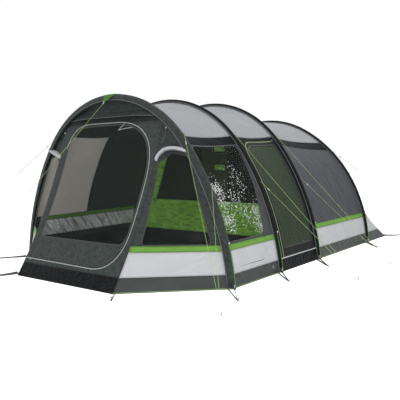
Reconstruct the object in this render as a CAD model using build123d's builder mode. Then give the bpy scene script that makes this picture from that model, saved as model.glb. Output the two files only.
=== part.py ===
"""Family tunnel tent, pitched: four hoop poles in sleeves, a skin of sewn panels,
windows, two doors that open, an inner tent, a groundsheet, straps, pegs and guy lines.
Millimetres. +X is the tent's right, +Y its rear, +Z up, z = 0 is the ground,
and the origin lies on the ground at the middle of the tent."""

import os
from math import atan2, cos, pi, radians, sin, sqrt, tan

from build123d import *

# ---------------------------------------------------------------- driving dimensions
front_hoop_y = -1650
second_hoop_y = -725
third_hoop_y = 190
rear_hoop_y = 1705
front_edge_y = -2450
rear_edge_y = 2450

base_half_width = 1640
roof_height = 1975
crown_radius = 1340
crown_half_angle = 52.3
rear_roof_height = 1790
rear_crown_radius = 1335
rear_crown_half_angle = 27.9

cloth = 3
gap = 0.3
zip_gap = 1.8
hinge_gap = 0.5
front_hinge_gap = 1.4
seam = 0.05

front_half_width = 780
gable_side_height = 24
front_half_chord = sqrt(crown_radius**2 - front_half_width**2)
front_wall_top = int(roof_height - crown_radius + front_half_chord) - gable_side_height
front_sag_y = front_edge_y + 485
front_sag_z = front_wall_top / 2 + 10

stripe_top = 430
stripe_bottom = 370
flap_top = 140
roof_seam = roof_height - 450
rear_roof_seam = rear_roof_height - 345

pole_radius = 6.5
pole_tilt = 0.6
cup_wall = 6
sleeve_bore = 7.2
front_sleeve_radius = 20
sleeve_radius = 17
sleeve_low = 60
pole_low = 8

side_window_top = roof_seam - 105
side_window_low = 450
window_corner = 60

side_door_front = -615
side_door_rear = 120
side_door_low = 150
side_door_top = roof_seam - 60
side_door_corner = 170
side_door_border = 45
side_door_strip = 110

front_door_left = 80 - front_half_width
front_door_right = front_half_width - 70
front_door_low = 185
front_door_top = front_wall_top - 10
front_door_strip = 245
front_door_border = 28
front_door_low_right = 330
front_door_top_right = 520
front_door_top_left = 300
film_low_right = 120
rain_flap_top = roof_height - 163
rain_flap_low = rain_flap_top - 60
rain_flap_reach = 62

rim_height = 200
sheet_rear = 2050
sheet_corner = 10
inner_gap = 70
inner_front_y = 250
inner_sill = 650
mesh_top = roof_height - 475
hanger_width = 20

strap_width = 22
strap_thickness = 2.5
strap_low = 0.5
peg_radius = 3
peg_height = 40
peg_hook = 28
strap_reach_x = 290
strap_reach_y = 330
strap_spread = 90
corner_reach = 180
corner_spread = 30
tape_width = 10
tape_thickness = 2

guy_radius = 1.5
guy_upper_z = roof_height - 475
guy_lower_z = roof_height - 995
rear_guy_upper_z = rear_roof_height - 510
guy_peg_z = 14
peg_line_gap = 0.8
knot_tail = 14
edge_ease = 0.6
runner_bore = 1.8
runner_length = 34
runner_width = 12
runner_thickness = 6
runner_start = 110
loop_size = 16
line_gap = 0.3

hood_width = 38
hood_depth = 24


# ---------------------------------------------------------------- hoop geometry
def hoop_shape(half_width, height, crown, half_angle):
    """Three tangent arcs: a side arc, the crown and the other side arc."""
    across, up = sin(radians(half_angle)), cos(radians(half_angle))
    crown_z = height - crown
    joint_x, joint_z = crown * across, crown_z + crown * up
    dx, dz = half_width - joint_x, -joint_z
    side = -(dx * dx + dz * dz) / (2 * (dx * across + dz * up))
    return {
        "crown_z": crown_z,
        "crown": crown,
        "side": side,
        "side_x": joint_x - side * across,
        "side_z": joint_z - side * up,
        "across": across,
        "up": up,
    }


main_hoop = hoop_shape(base_half_width, roof_height, crown_radius, crown_half_angle)
rear_hoop = hoop_shape(base_half_width, rear_roof_height, rear_crown_radius, rear_crown_half_angle)


def hoop_joint(hoop, grow):
    """Where the side arc meets the crown, on the curve that lies grow outside the skin."""
    reach = hoop["crown"] + grow
    return (reach * hoop["across"], hoop["crown_z"] + reach * hoop["up"])


def hoop_x(hoop, grow, z):
    """Half width of the hoop at height z."""
    if z > hoop_joint(hoop, grow)[1]:
        return sqrt((hoop["crown"] + grow) ** 2 - (z - hoop["crown_z"]) ** 2)
    return hoop["side_x"] + sqrt((hoop["side"] + grow) ** 2 - (z - hoop["side_z"]) ** 2)


def side_arc(hoop, grow, low, high):
    """Arc of the right side between two heights."""
    middle = (low + high) / 2
    return ThreePointArc(
        (hoop_x(hoop, grow, low), low),
        (hoop_x(hoop, grow, middle), middle),
        (hoop_x(hoop, grow, high), high),
    )


def whole_hoop(hoop, grow, low):
    """Right foot, over the crown, to the left foot."""
    joint = hoop_joint(hoop, grow)
    middle = (low + joint[1]) / 2
    foot = (hoop_x(hoop, grow, low), low)
    flank = (hoop_x(hoop, grow, middle), middle)
    top = (0, hoop["crown_z"] + hoop["crown"] + grow)
    ThreePointArc(foot, flank, joint)
    ThreePointArc(joint, top, (-joint[0], joint[1]))
    ThreePointArc((-joint[0], joint[1]), (-flank[0], flank[1]), (-foot[0], foot[1]))


def skin_section(hoop, y, low=0, grow=0, thickness=cloth):
    """Cross section of the skin across the tent."""
    inner = grow - thickness
    with BuildSketch(Plane.XZ.offset(-y)) as section:
        with BuildLine():
            whole_hoop(hoop, grow, low)
            Line((-hoop_x(hoop, grow, low), low), (-hoop_x(hoop, inner, low), low))
            whole_hoop(hoop, inner, low)
            Line((hoop_x(hoop, inner, low), low), (hoop_x(hoop, grow, low), low))
        make_face()
    return section.sketch


def straight_bay(front, rear, grow=0, thickness=cloth):
    """Skin between two equal hoops."""
    with BuildPart() as bay:
        extrude(skin_section(main_hoop, front, 0, grow, thickness), amount=rear - front, dir=(0, 1, 0))
    return bay.part


def lofted_bay(grow=0, thickness=cloth):
    """Skin between the third hoop and the lower rear hoop."""
    sections = [
        skin_section(main_hoop, third_hoop_y, 0, grow, thickness).face(),
        skin_section(rear_hoop, rear_hoop_y, 0, grow, thickness).face(),
    ]
    with BuildPart() as bay:
        loft(sections, ruled=True)
    return bay.part


def through_side(outline, corner=0, from_x=200, to_x=2000):
    """Cutter with an outline in Y and Z, running across the tent."""
    with BuildPart() as cutter:
        with BuildSketch(Plane.YZ.offset(from_x)) as face:
            with BuildLine():
                Polyline(*outline, close=True)
            make_face()
            if corner:
                fillet(face.vertices(), corner)
        extrude(amount=to_x - from_x)
    return cutter.part


def through_front(outline, corner=0, from_y=-3000, to_y=-1500):
    """Cutter with an outline in X and Z, running along the tent."""
    with BuildPart() as cutter:
        with BuildSketch(Plane.XZ.offset(-to_y)) as face:
            with BuildLine():
                Polyline(*outline, close=True)
            make_face()
            if corner:
                fillet(face.vertices(), corner)
        extrude(amount=to_y - from_y)
    return cutter.part


def between(low, high):
    """Everything between two heights."""
    with BuildPart() as slab:
        with BuildSketch(Plane.XY.offset(low)):
            Rectangle(8000, 8000)
        extrude(amount=high - low)
    return slab.part


def common(body, *cutters):
    """What a body shares with each cutter in turn."""
    with BuildPart() as piece:
        add(body)
        for cutter in cutters:
            add(cutter, mode=Mode.INTERSECT)
    return piece.part


def without(body, *cutters):
    """What is left of a body after each cutter."""
    with BuildPart() as piece:
        add(body)
        for cutter in cutters:
            add(cutter, mode=Mode.SUBTRACT)
    return piece.part


def grouped(*pieces):
    """Separate solids that share one node."""
    return Compound(children=[solid for piece in pieces for solid in piece.solids()])


def on_left(piece):
    """The same piece on the tent's other side."""
    return piece.mirror(Plane.YZ)


def save(shape, name):
    """Label a finished piece and write its file."""
    shape.label = name
    export_step(shape, f"parts/{name}.step")


os.makedirs("parts", exist_ok=True)

front_bay = straight_bay(front_hoop_y, second_hoop_y)
middle_bay = straight_bay(second_hoop_y, third_hoop_y)
bedroom_bay = lofted_bay()
above_stripe = between(stripe_top, 3000)
stripe_zone = between(stripe_bottom, stripe_top)
band_zone = between(flap_top, stripe_bottom)
flap_zone = between(0, flap_top)


# ---------------------------------------------------------------- poles and sleeves
hoops = {
    "front": (main_hoop, front_hoop_y, front_sleeve_radius),
    "second": (main_hoop, second_hoop_y, sleeve_radius),
    "third": (main_hoop, third_hoop_y, sleeve_radius),
    "rear": (rear_hoop, rear_hoop_y, sleeve_radius),
}


def tube_on_hoop(hoop, y, grow, low, radius, bore=0):
    """Round tube bent to the hoop, with its centre line grow outside the skin."""
    foot_x = hoop_x(hoop, grow, low)
    lean_x = low - hoop["side_z"]
    lean_z = foot_x - hoop["side_x"]
    with BuildPart() as tube:
        with BuildLine(Plane.XZ.offset(-y)) as path:
            whole_hoop(hoop, grow, low)
        with BuildSketch(Plane(origin=(foot_x, y, low), z_dir=(-lean_x, 0, lean_z))):
            Circle(radius)
            if bore:
                Circle(bore, mode=Mode.SUBTRACT)
        sweep(path=path.wires()[0])
    return tube.part


def pole_section(y, start, middle, end):
    """Solid rod along one arc of a hoop."""
    with BuildPart() as section:
        with BuildLine(Plane.XZ.offset(-y)) as path:
            ThreePointArc(start, middle, end)
        arc = path.edges()[0]
        with BuildSketch(Plane(origin=arc @ 0, z_dir=arc % 0)):
            Circle(pole_radius)
        sweep(path=arc)
    return section.part


def pole_sections(hoop, y, grow, low):
    """Four pole sections that butt end to end."""
    reach = hoop["crown"] + grow
    joint = hoop_joint(hoop, grow)
    middle_z = (low + joint[1]) / 2
    half = atan2(hoop["across"], hoop["up"]) / 2
    foot, flank = (hoop_x(hoop, grow, low), low), (hoop_x(hoop, grow, middle_z), middle_z)
    shoulder, top = (reach * sin(half), hoop["crown_z"] + reach * cos(half)), (0, hoop["crown_z"] + reach)
    sections = []
    for side in (1, -1):
        leg = [(side * x, z) for x, z in (foot, flank, joint)]
        crown = [(side * x, z) for x, z in (joint, shoulder, top)]
        sections += [pole_section(y, *leg), pole_section(y, *crown)]
    return grouped(*sections)


for place, (hoop, y, radius) in hoops.items():
    save(pole_sections(hoop, y, radius + gap, pole_low), f"hoop_pole_{place}")
    save(tube_on_hoop(hoop, y, radius + gap, sleeve_low, radius, sleeve_bore), f"pole_sleeve_{place}")


def foot_cup(x, y):
    """Cup on the peg strap that takes the end of a pole."""
    with BuildPart() as cup:
        with BuildSketch(Plane.XY.offset(strap_low)):
            with Locations((x, y)):
                Circle(pole_radius + cup_wall)
        extrude(amount=22)
        with BuildSketch(Plane.XY.offset(pole_low - pole_tilt - gap)):
            with Locations((x, y)):
                Circle(pole_radius + 2.5)
        extrude(amount=40, mode=Mode.SUBTRACT)
    return cup.part


cups = []
for hoop, y, radius in hoops.values():
    cup = foot_cup(hoop_x(hoop, radius + gap, pole_low + 8), y)
    cups += [cup, on_left(cup)]
save(grouped(*cups), "pole_foot_cups")


# ---------------------------------------------------------------- roof
save(common(front_bay, between(roof_seam, 3000)), "roof_front_bay")
save(common(middle_bay, between(roof_seam, 3000)), "roof_middle_bay")
bedroom_roof_cut = through_side(
    [
        (third_hoop_y, roof_seam),
        (rear_hoop_y, rear_roof_seam),
        (rear_hoop_y, 3000),
        (third_hoop_y, 3000),
    ],
    0,
    -2000,
)
save(common(bedroom_bay, bedroom_roof_cut), "roof_bedroom")


# ---------------------------------------------------------------- side walls and windows
right_half = through_side([(-3000, 0), (3000, 0), (3000, 3000), (-3000, 3000)], 0, 1)
side_window_outline = [
    (front_hoop_y + 75, side_window_top),
    (second_hoop_y - 40, side_window_top),
    (second_hoop_y - 95, side_window_top - 420),
    (second_hoop_y - 205, side_window_low),
    (front_hoop_y + 50, side_window_low),
]
side_window_cut = through_side(side_window_outline, window_corner)
wall_zone = between(stripe_top, roof_seam)
front_side = common(front_bay, right_half, wall_zone)
side_wall_front = without(front_side, side_window_cut)
side_window = common(front_side, side_window_cut)
save(side_wall_front, "side_wall_front_right")
save(on_left(side_wall_front), "side_wall_front_left")
save(side_window, "side_window_right")
save(on_left(side_window), "side_window_left")

blind_outline = [
    (front_hoop_y + 60, side_window_top + 60),
    (second_hoop_y - 30, side_window_top + 60),
    (second_hoop_y - 30, side_window_low - 10),
    (front_hoop_y + 60, side_window_low - 10),
]
blind = common(straight_bay(front_hoop_y, second_hoop_y, -cloth - gap), through_side(blind_outline, 20))
save(on_left(blind), "window_blind_left")

bedroom_side = without(common(bedroom_bay, right_half, above_stripe), bedroom_roof_cut)
save(bedroom_side, "side_wall_bedroom_right")
save(on_left(bedroom_side), "side_wall_bedroom_left")


# ---------------------------------------------------------------- side door
def side_door_outline(inset, rear_inset, low):
    """Outline with a round upper front corner, in Y and Z."""
    with BuildSketch(Plane.YZ.offset(200)) as outline:
        with BuildLine():
            Polyline(
                (side_door_front + inset, low),
                (side_door_front + inset, side_door_top - inset),
                (side_door_rear - rear_inset, side_door_top - inset),
                (side_door_rear - rear_inset, low),
                close=True,
            )
        make_face()
        fillet(outline.vertices().sort_by(Axis.Y)[-2:].sort_by(Axis.X)[0], side_door_corner)
    return outline.sketch


def side_door_cut(inset, rear_inset, low):
    """Cutter with the side door's outline."""
    with BuildPart() as cutter:
        extrude(side_door_outline(inset, rear_inset, low), amount=1800, dir=(1, 0, 0))
    return cutter.part


middle_side = common(middle_bay, right_half, between(flap_top, roof_seam))
save(without(middle_side, side_door_cut(0, 0, side_door_low)), "side_wall_middle_right")
save(on_left(common(middle_bay, right_half, wall_zone)), "side_wall_middle_left")
door_skin = common(middle_side, side_door_cut(zip_gap, hinge_gap, side_door_low + zip_gap))
side_film_cut = side_door_cut(side_door_border, side_door_border, side_door_low + side_door_strip)
save(without(door_skin, side_film_cut), "side_door")
save(common(door_skin, side_film_cut), "side_door_window")
save(common(middle_bay, right_half, flap_zone), "side_door_sill")


# ---------------------------------------------------------------- front wall and front door
def front_arc(shift):
    """Sagging line of the front wall from the ground to its top, in Y and Z."""
    return ThreePointArc(
        (front_edge_y + shift, 0),
        (front_sag_y + shift, front_sag_z),
        (front_hoop_y - cloth + shift, front_wall_top),
    )


with BuildSketch(Plane.YZ.offset(-front_half_width)) as front_strip:
    with BuildLine():
        outer_line = front_arc(0)
        inner_line = front_arc(cloth)
        Line(outer_line @ 1, inner_line @ 1)
        Line(inner_line @ 0, outer_line @ 0)
    make_face()
with BuildPart() as front_skin:
    extrude(front_strip.sketch, amount=2 * front_half_width, dir=(1, 0, 0))


def front_y(z):
    """Y of the front wall's outer face at height z."""
    ground, sag, top = (front_edge_y, 0), (front_sag_y, front_sag_z), (front_hoop_y - cloth, front_wall_top)
    ax, az, bx, bz = sag[0] - ground[0], sag[1], top[0] - ground[0], top[1]
    turn = 2 * (ax * bz - az * bx)
    cx = (bz * (ax * ax + az * az) - az * (bx * bx + bz * bz)) / turn
    cz = (ax * (bx * bx + bz * bz) - bx * (ax * ax + az * az)) / turn
    radius = sqrt(cx * cx + cz * cz)
    return ground[0] + cx + sqrt(radius * radius - (z - cz) ** 2)


def front_door_cut(inset, left_inset, low, low_corner):
    """Cutter with the front door's outline: straight left side, round right side."""
    left, right = front_door_left + left_inset, front_door_right - inset
    top = front_door_top - inset
    with BuildPart() as cutter:
        with BuildSketch(Plane.XZ.offset(1500)) as outline:
            with BuildLine():
                Polyline((left, low), (right, low), (right, top), (left, top), close=True)
            make_face()
            fillet(outline.vertices().sort_by(Axis.Y)[:2].sort_by(Axis.X)[-1], low_corner - inset)
            fillet(outline.vertices().sort_by(Axis.Y)[-2:].sort_by(Axis.X)[-1], front_door_top_right - inset)
            fillet(outline.vertices().sort_by(Axis.X)[:2].sort_by(Axis.Y)[-1], front_door_top_left - inset)
        extrude(amount=1500)
    return cutter.part


front_door_hole = front_door_cut(0, 0, front_door_low, front_door_low_right)
front_panel = common(front_skin.part, between(flap_top, front_wall_top))
save(without(front_panel, front_door_hole), "front_wall")
front_leaf_cut = front_door_cut(zip_gap, front_hinge_gap, front_door_low + zip_gap, front_door_low_right)
front_leaf = common(front_panel, front_leaf_cut)
front_film_cut = front_door_cut(
    front_door_border, front_door_border, front_door_low + front_door_strip, film_low_right
)
save(without(front_leaf, front_film_cut), "front_door")
save(common(front_leaf, front_film_cut), "front_door_window")

wing_top = main_hoop["crown_z"] + front_half_chord
with BuildPart() as front_gable:
    with BuildSketch(Plane.XZ.offset(-front_hoop_y)):
        with BuildLine():
            ThreePointArc((front_half_width, wing_top), (0, roof_height), (-front_half_width, wing_top))
            Polyline(
                (-front_half_width, wing_top),
                (-front_half_width, front_wall_top),
                (front_half_width, front_wall_top),
                (front_half_width, wing_top),
            )
        make_face()
    extrude(amount=cloth)
save(front_gable.part, "front_gable")

flap_y = front_hoop_y - cloth - gap
with BuildPart() as rain_flap:
    with BuildSketch(Plane.YZ.offset(-front_half_width + 60)):
        with BuildLine():
            Polyline(
                (flap_y, rain_flap_top),
                (flap_y, rain_flap_top - 4),
                (flap_y - rain_flap_reach + 2, rain_flap_low),
                (flap_y - rain_flap_reach, rain_flap_low + 3),
                close=True,
            )
        make_face()
    extrude(amount=2 * (front_half_width - 60))
    add(
        through_front(
            [
                (60 - front_half_width, rain_flap_low - 6),
                (250 - front_half_width, rain_flap_top + 5),
                (front_half_width - 250, rain_flap_top + 5),
                (front_half_width - 60, rain_flap_low - 6),
            ]
        ),
        mode=Mode.INTERSECT,
    )
save(rain_flap.part, "door_rain_flap")


# ---------------------------------------------------------------- front wings
def edge_arc(plane, curve, low, high):
    """Arc through a curve's points at two heights and half way between."""
    with BuildLine(plane) as line:
        ThreePointArc(curve(low), curve((low + high) / 2), curve(high))
    return line.edge()


wing_split = hoop_joint(main_hoop, 0)[1] * front_wall_top / wing_top


def wing_faces(out):
    """Lower and upper ruled face from the front wall's edge to the front hoop, out outside the cloth."""
    edge_plane, arch_plane = Plane.YZ.offset(front_half_width), Plane.XZ.offset(-front_hoop_y)
    edge_stops = (0, wing_split, front_wall_top)
    arch_stops = (0, hoop_joint(main_hoop, out)[1], wing_top)
    panels = []
    for step in (0, 1):
        edge_ends, arch_ends = edge_stops[step : step + 2], arch_stops[step : step + 2]
        edge = edge_arc(edge_plane, lambda z: (front_y(z) - out, z), *edge_ends)
        arch = edge_arc(arch_plane, lambda z: (hoop_x(main_hoop, out, z), z), *arch_ends)
        panels.append(Face.make_surface_from_curves(edge, arch))
    return panels


wing_space = through_side(
    [
        (2 * front_edge_y, 0),
        (front_hoop_y - seam, 0),
        (front_hoop_y - seam, 3000),
        (2 * front_edge_y, 3000),
    ],
    0,
    front_half_width + seam,
)
with BuildPart() as wing_layer:
    thicken(wing_faces(0), amount=cloth)
wing_skin = common(wing_layer.part, wing_space)


def wing_point(across, up, shift_x=0, shift_z=0):
    """Point of the wing at a share of its width and of its height, in X and Z."""
    wing_width = base_half_width - front_half_width
    return (front_half_width + across * wing_width + shift_x, up * front_wall_top + shift_z)


wing_window_outline = [
    wing_point(0.095, stripe_top / front_wall_top),
    wing_point(0.785, stripe_top / front_wall_top),
    wing_point(0.402, 0.768),
    wing_point(0.19, 0.797),
    wing_point(0.05, 0.737),
]
wing_window_cut = through_front(wing_window_outline, 30)
wing_panel = common(wing_skin, above_stripe)
wing = without(wing_panel, wing_window_cut)
wing_window = common(wing_panel, wing_window_cut)
save(wing, "wing_right")
save(on_left(wing), "wing_left")
save(wing_window, "wing_window_right")
save(on_left(wing_window), "wing_window_left")

hood_outline = [
    wing_point(0.03, 0.748),
    wing_point(0.105, 0.804),
    wing_point(0.185, 0.811),
    wing_point(0.418, 0.783),
    wing_point(0.418, 0.783, hood_width / 3, hood_width),
    wing_point(0.185, 0.811, 0, hood_width),
    wing_point(0.105, 0.804, -hood_width / 2, hood_width),
    wing_point(0.03, 0.748, -hood_width / 2, hood_width),
]
hood_space = through_front(hood_outline, 0, -3000, front_hoop_y - 2 * front_sleeve_radius)
with BuildPart() as hood_layer:
    thicken(wing_faces(gap)[0], amount=-hood_depth)
hood = common(hood_layer.part, hood_space)
save(grouped(hood, on_left(hood)), "vent_hoods")


# ---------------------------------------------------------------- rear wall
def straight_edge(plane, start, end):
    """Straight edge between two points of a plane."""
    with BuildLine(plane) as line:
        Line(start, end)
    return line.edge()


rear_plane, foot_plane = Plane.XZ.offset(-rear_hoop_y), Plane.XZ.offset(-rear_edge_y)
rear_joint_x, rear_joint_z = hoop_joint(rear_hoop, 0)
third = base_half_width / 3
right_curve = edge_arc(rear_plane, lambda z: (hoop_x(rear_hoop, 0, z), z), stripe_top, rear_joint_z)
left_curve = edge_arc(rear_plane, lambda z: (-hoop_x(rear_hoop, 0, z), z), rear_joint_z, stripe_top)
with BuildLine(rear_plane) as rear_crown_line:
    ThreePointArc((rear_joint_x, rear_joint_z), (0, rear_roof_height), (-rear_joint_x, rear_joint_z))
rear_panels = [
    Face.make_surface_from_curves(right_curve, straight_edge(foot_plane, (base_half_width, 0), (third, 0))),
    Face.make_surface_from_curves(rear_crown_line.edge(), straight_edge(foot_plane, (third, 0), (-third, 0))),
    Face.make_surface_from_curves(left_curve, straight_edge(foot_plane, (-third, 0), (-base_half_width, 0))),
]
with BuildPart() as rear_skin:
    thicken(rear_panels, amount=cloth)
with BuildPart() as rear_block:
    with BuildSketch(rear_plane):
        Rectangle(8000, 8000)
    extrude(amount=rear_hoop_y - rear_edge_y)
rear_space = rear_block.part
save(common(rear_skin.part, between(stripe_top, 3000), rear_space), "rear_wall")

with BuildSketch(rear_plane) as rear_side_front:
    with BuildLine():
        side_arc(rear_hoop, 0, 0, stripe_top)
        side_arc(rear_hoop, -cloth, 0, stripe_top)
        Line((hoop_x(rear_hoop, 0, 0), 0), (hoop_x(rear_hoop, -cloth, 0), 0))
        outer_top, inner_top = hoop_x(rear_hoop, 0, stripe_top), hoop_x(rear_hoop, -cloth, stripe_top)
        Line((outer_top, stripe_top), (inner_top, stripe_top))
    make_face()
with BuildSketch(foot_plane) as rear_side_back:
    with Locations((base_half_width - cloth / 2, cloth / 2)):
        Rectangle(cloth, cloth)
with BuildPart() as rear_side:
    loft([rear_side_front.sketch.face(), rear_side_back.sketch.face()], ruled=True)
rear_back = common(rear_skin.part, between(0, stripe_top), rear_space)
rear_back = without(rear_back, rear_side.part, on_left(rear_side.part))


# ---------------------------------------------------------------- stripe, light band, mud flaps
right_low_panels = [
    common(wing_skin, between(0, stripe_top)),
    common(front_bay, right_half, between(0, stripe_top)),
    common(bedroom_bay, right_half, between(0, stripe_top)),
    rear_side.part,
]
left_low_panels = [on_left(panel) for panel in right_low_panels]
left_low_panels.append(on_left(common(middle_bay, right_half, between(0, stripe_top))))
low_panels = right_low_panels + left_low_panels + [rear_back]
save(grouped(*[common(panel, stripe_zone) for panel in low_panels]), "trim_stripes")
save(grouped(*[common(panel, band_zone) for panel in low_panels]), "light_bands")
flaps = [common(panel, flap_zone) for panel in low_panels]
flaps.append(common(front_skin.part, flap_zone))
save(grouped(*flaps), "mud_flaps")


# ---------------------------------------------------------------- groundsheet and inner tent
sheet_side = min(hoop_x(hoop, -cloth, rim_height) for hoop in (main_hoop, rear_hoop)) - gap
sheet_front = front_y(rim_height) + cloth + gap
sheet_outline = [
    (front_half_width - sheet_corner, sheet_front),
    (sheet_side, front_hoop_y + sheet_corner),
    (sheet_side, sheet_rear),
    (-sheet_side, sheet_rear),
    (-sheet_side, front_hoop_y + sheet_corner),
    (sheet_corner - front_half_width, sheet_front),
]
with BuildPart() as groundsheet:
    with BuildSketch():
        with BuildLine():
            Polyline(*sheet_outline, close=True)
        make_face()
    extrude(amount=rim_height)
    with BuildSketch(Plane.XY.offset(cloth)):
        with BuildLine():
            Polyline(*sheet_outline, close=True)
        make_face()
        offset(amount=-cloth, mode=Mode.REPLACE)
    extrude(amount=rim_height, mode=Mode.SUBTRACT)
save(groundsheet.part, "groundsheet")

inner_low = cloth + gap
rear_inner_gap = inner_gap + 20


def closed_arch(hoop, y, grow):
    """Upright wall of cloth that fills the hoop's arch."""
    with BuildPart() as wall:
        with BuildSketch(Plane.XZ.offset(-y - cloth)):
            with BuildLine():
                whole_hoop(hoop, grow, inner_low)
                Line((-hoop_x(hoop, grow, inner_low), inner_low), (hoop_x(hoop, grow, inner_low), inner_low))
            make_face()
        extrude(amount=cloth)
    return wall.part


def ridge_hanger(y):
    """Short strap from the inner tent's ridge up to the roof."""
    roof_run = (y - third_hoop_y) / (rear_hoop_y - third_hoop_y)
    cabin_run = (y - inner_front_y - cloth) / (rear_hoop_y - inner_front_y - cloth)
    roof_z = roof_height + (rear_roof_height - roof_height) * roof_run - cloth - 2 * gap
    front_z, rear_z = roof_height - inner_gap, rear_roof_height - rear_inner_gap
    cabin_z = front_z + (rear_z - front_z) * cabin_run
    with BuildPart() as hanger:
        with BuildSketch(Plane.XY.offset(cabin_z + gap)):
            with Locations((0, y)):
                Rectangle(hanger_width, cloth)
        extrude(amount=roof_z - cabin_z - gap)
    return hanger.part


inner_wall = closed_arch(main_hoop, inner_front_y, -inner_gap)
mesh_outline = [
    (220, inner_sill),
    (base_half_width - 560, inner_sill),
    (base_half_width - 880, mesh_top),
    (220, mesh_top),
]
mesh_cut = through_front(mesh_outline, 30, 0, 500)
mesh = common(inner_wall, mesh_cut)
save(grouped(mesh, on_left(mesh)), "inner_tent_mesh")
inner_sections = [
    skin_section(main_hoop, inner_front_y + cloth, inner_low, -inner_gap).face(),
    skin_section(rear_hoop, rear_hoop_y, inner_low, -rear_inner_gap).face(),
]
with BuildPart() as cabin:
    loft(inner_sections, ruled=True)
hangers = [ridge_hanger(y) for y in (inner_front_y + 60, 950, rear_hoop_y - 60)]
save(
    grouped(
        without(inner_wall, mesh_cut, on_left(mesh_cut)),
        cabin.part,
        closed_arch(rear_hoop, rear_hoop_y, -rear_inner_gap),
        *hangers,
    ),
    "inner_tent",
)


def pocket(low):
    """Flat organiser pocket on the inner tent's front."""
    with BuildPart() as pouch:
        with BuildSketch(Plane.XZ.offset(-inner_front_y + gap)):
            with Locations((95, low)):
                RectangleRounded(190, 90, 12)
        extrude(amount=6)
    return pouch.part


save(grouped(pocket(1390), pocket(1130)), "organiser_pockets")


# ---------------------------------------------------------------- straps and pegs
def peg(x, y, hook=(1, 0, 0)):
    """Head of a steel peg, as it stands out of the ground, with its hook pointing away from the tent."""
    with BuildPart() as head:
        with BuildSketch():
            with Locations((x, y)):
                Circle(peg_radius)
        extrude(amount=peg_height)
        back = Vector(x, y, peg_height) - Vector(*hook) * peg_radius
        with BuildSketch(Plane(origin=back, z_dir=hook)):
            Circle(peg_radius)
        extrude(amount=peg_hook)
    return head.part


def strap_start(at, normal, peg_at):
    """Where a strap's square end just clears a wall, at a point of the wall with its outward normal."""
    run = Vector(peg_at[0] - at[0], peg_at[1] - at[1]).normalized()
    facing = run.X * normal[0] + run.Y * normal[1]
    reach = gap + strap_width / 2 * sqrt(1 - facing * facing)
    return (at[0] + normal[0] * reach, at[1] + normal[1] * reach)


def vee_strap(starts, peg_at):
    """Webbing from two points of the hem to a peg."""
    with BuildPart() as strap:
        for start in starts:
            run = Vector(peg_at[0] - start[0], peg_at[1] - start[1])
            middle = ((peg_at[0] + start[0]) / 2, (peg_at[1] + start[1]) / 2)
            with BuildSketch(Plane(origin=(*middle, strap_low), x_dir=(run.X, run.Y, 0))):
                Rectangle(run.length, strap_width)
            extrude(amount=strap_thickness)
        with BuildSketch(Plane.XY.offset(strap_low)):
            with Locations(peg_at):
                Circle(strap_width / 2)
        extrude(amount=strap_thickness)
        with BuildSketch():
            with Locations(peg_at):
                Circle(peg_radius + gap)
        extrude(amount=peg_height, mode=Mode.SUBTRACT)
    return strap.part


def tension_tape(hoop, y, radius):
    """Green tape down the outside of a sleeve's foot."""
    out = 2 * radius + 2 * gap + tape_thickness
    low, high = strap_low + 30, stripe_top
    with BuildPart() as tape:
        with BuildSketch(Plane.XZ.offset(-y - tape_width / 2)):
            with BuildLine():
                side_arc(hoop, out, low, high)
                side_arc(hoop, out - tape_thickness, low, high)
                Line((hoop_x(hoop, out, low), low), (hoop_x(hoop, out - tape_thickness, low), low))
                Line((hoop_x(hoop, out, high), high), (hoop_x(hoop, out - tape_thickness, high), high))
            make_face()
        extrude(amount=tape_width)
    return tape.part


straps, pegs = [], []
for hoop, y, radius in hoops.values():
    peg_at = (base_half_width + strap_reach_x, y - strap_reach_y)
    cup_centre = Vector(hoop_x(hoop, radius + gap, pole_low + 8), y)
    from_cup = (Vector(*peg_at) - cup_centre).normalized() * (pole_radius + cup_wall + gap)
    cup_start = (cup_centre.X + from_cup.X, cup_centre.Y + from_cup.Y)
    flap_start = strap_start((base_half_width, y - strap_spread), (1, 0), peg_at)
    straps += [vee_strap([cup_start, flap_start], peg_at), tension_tape(hoop, y, radius)]
    pegs.append(peg(*peg_at))

wing_run = Vector(base_half_width - front_half_width, front_hoop_y - front_edge_y).normalized()
front_corner = (front_half_width + corner_reach, front_edge_y - corner_reach)
front_starts = [
    strap_start((front_half_width - corner_spread, front_edge_y), (0, -1), front_corner),
    strap_start(
        (front_half_width + corner_spread * wing_run.X, front_edge_y + corner_spread * wing_run.Y),
        (wing_run.Y, -wing_run.X),
        front_corner,
    ),
]
rear_corner = (base_half_width + corner_reach, rear_edge_y + corner_reach)
rear_starts = [
    strap_start((base_half_width, rear_edge_y - corner_spread), (1, 0), rear_corner),
    strap_start((base_half_width - corner_spread, rear_edge_y), (0, 1), rear_corner),
]
straps += [vee_strap(front_starts, front_corner), vee_strap(rear_starts, rear_corner)]
pegs += [peg(*front_corner), peg(*rear_corner)]
save(grouped(*straps, *[on_left(strap) for strap in straps]), "foot_straps")
save(grouped(*pegs, *[on_left(head) for head in pegs]), "ground_pegs")


# ---------------------------------------------------------------- zip sliders
def zip_slider(name, origin, out, along):
    """Slider body with its pull tab hanging on the outside."""
    with BuildPart() as slider:
        with BuildSketch(Plane(origin=origin, x_dir=along, z_dir=out)):
            RectangleRounded(22, 12, 3)
        extrude(amount=6)
        with BuildSketch(Plane(origin=Vector(*origin) + Vector(*out) * 6, x_dir=along, z_dir=out)):
            RectangleRounded(34, 6, 2.5)
        extrude(amount=3)
    save(slider.part, name)


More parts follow.
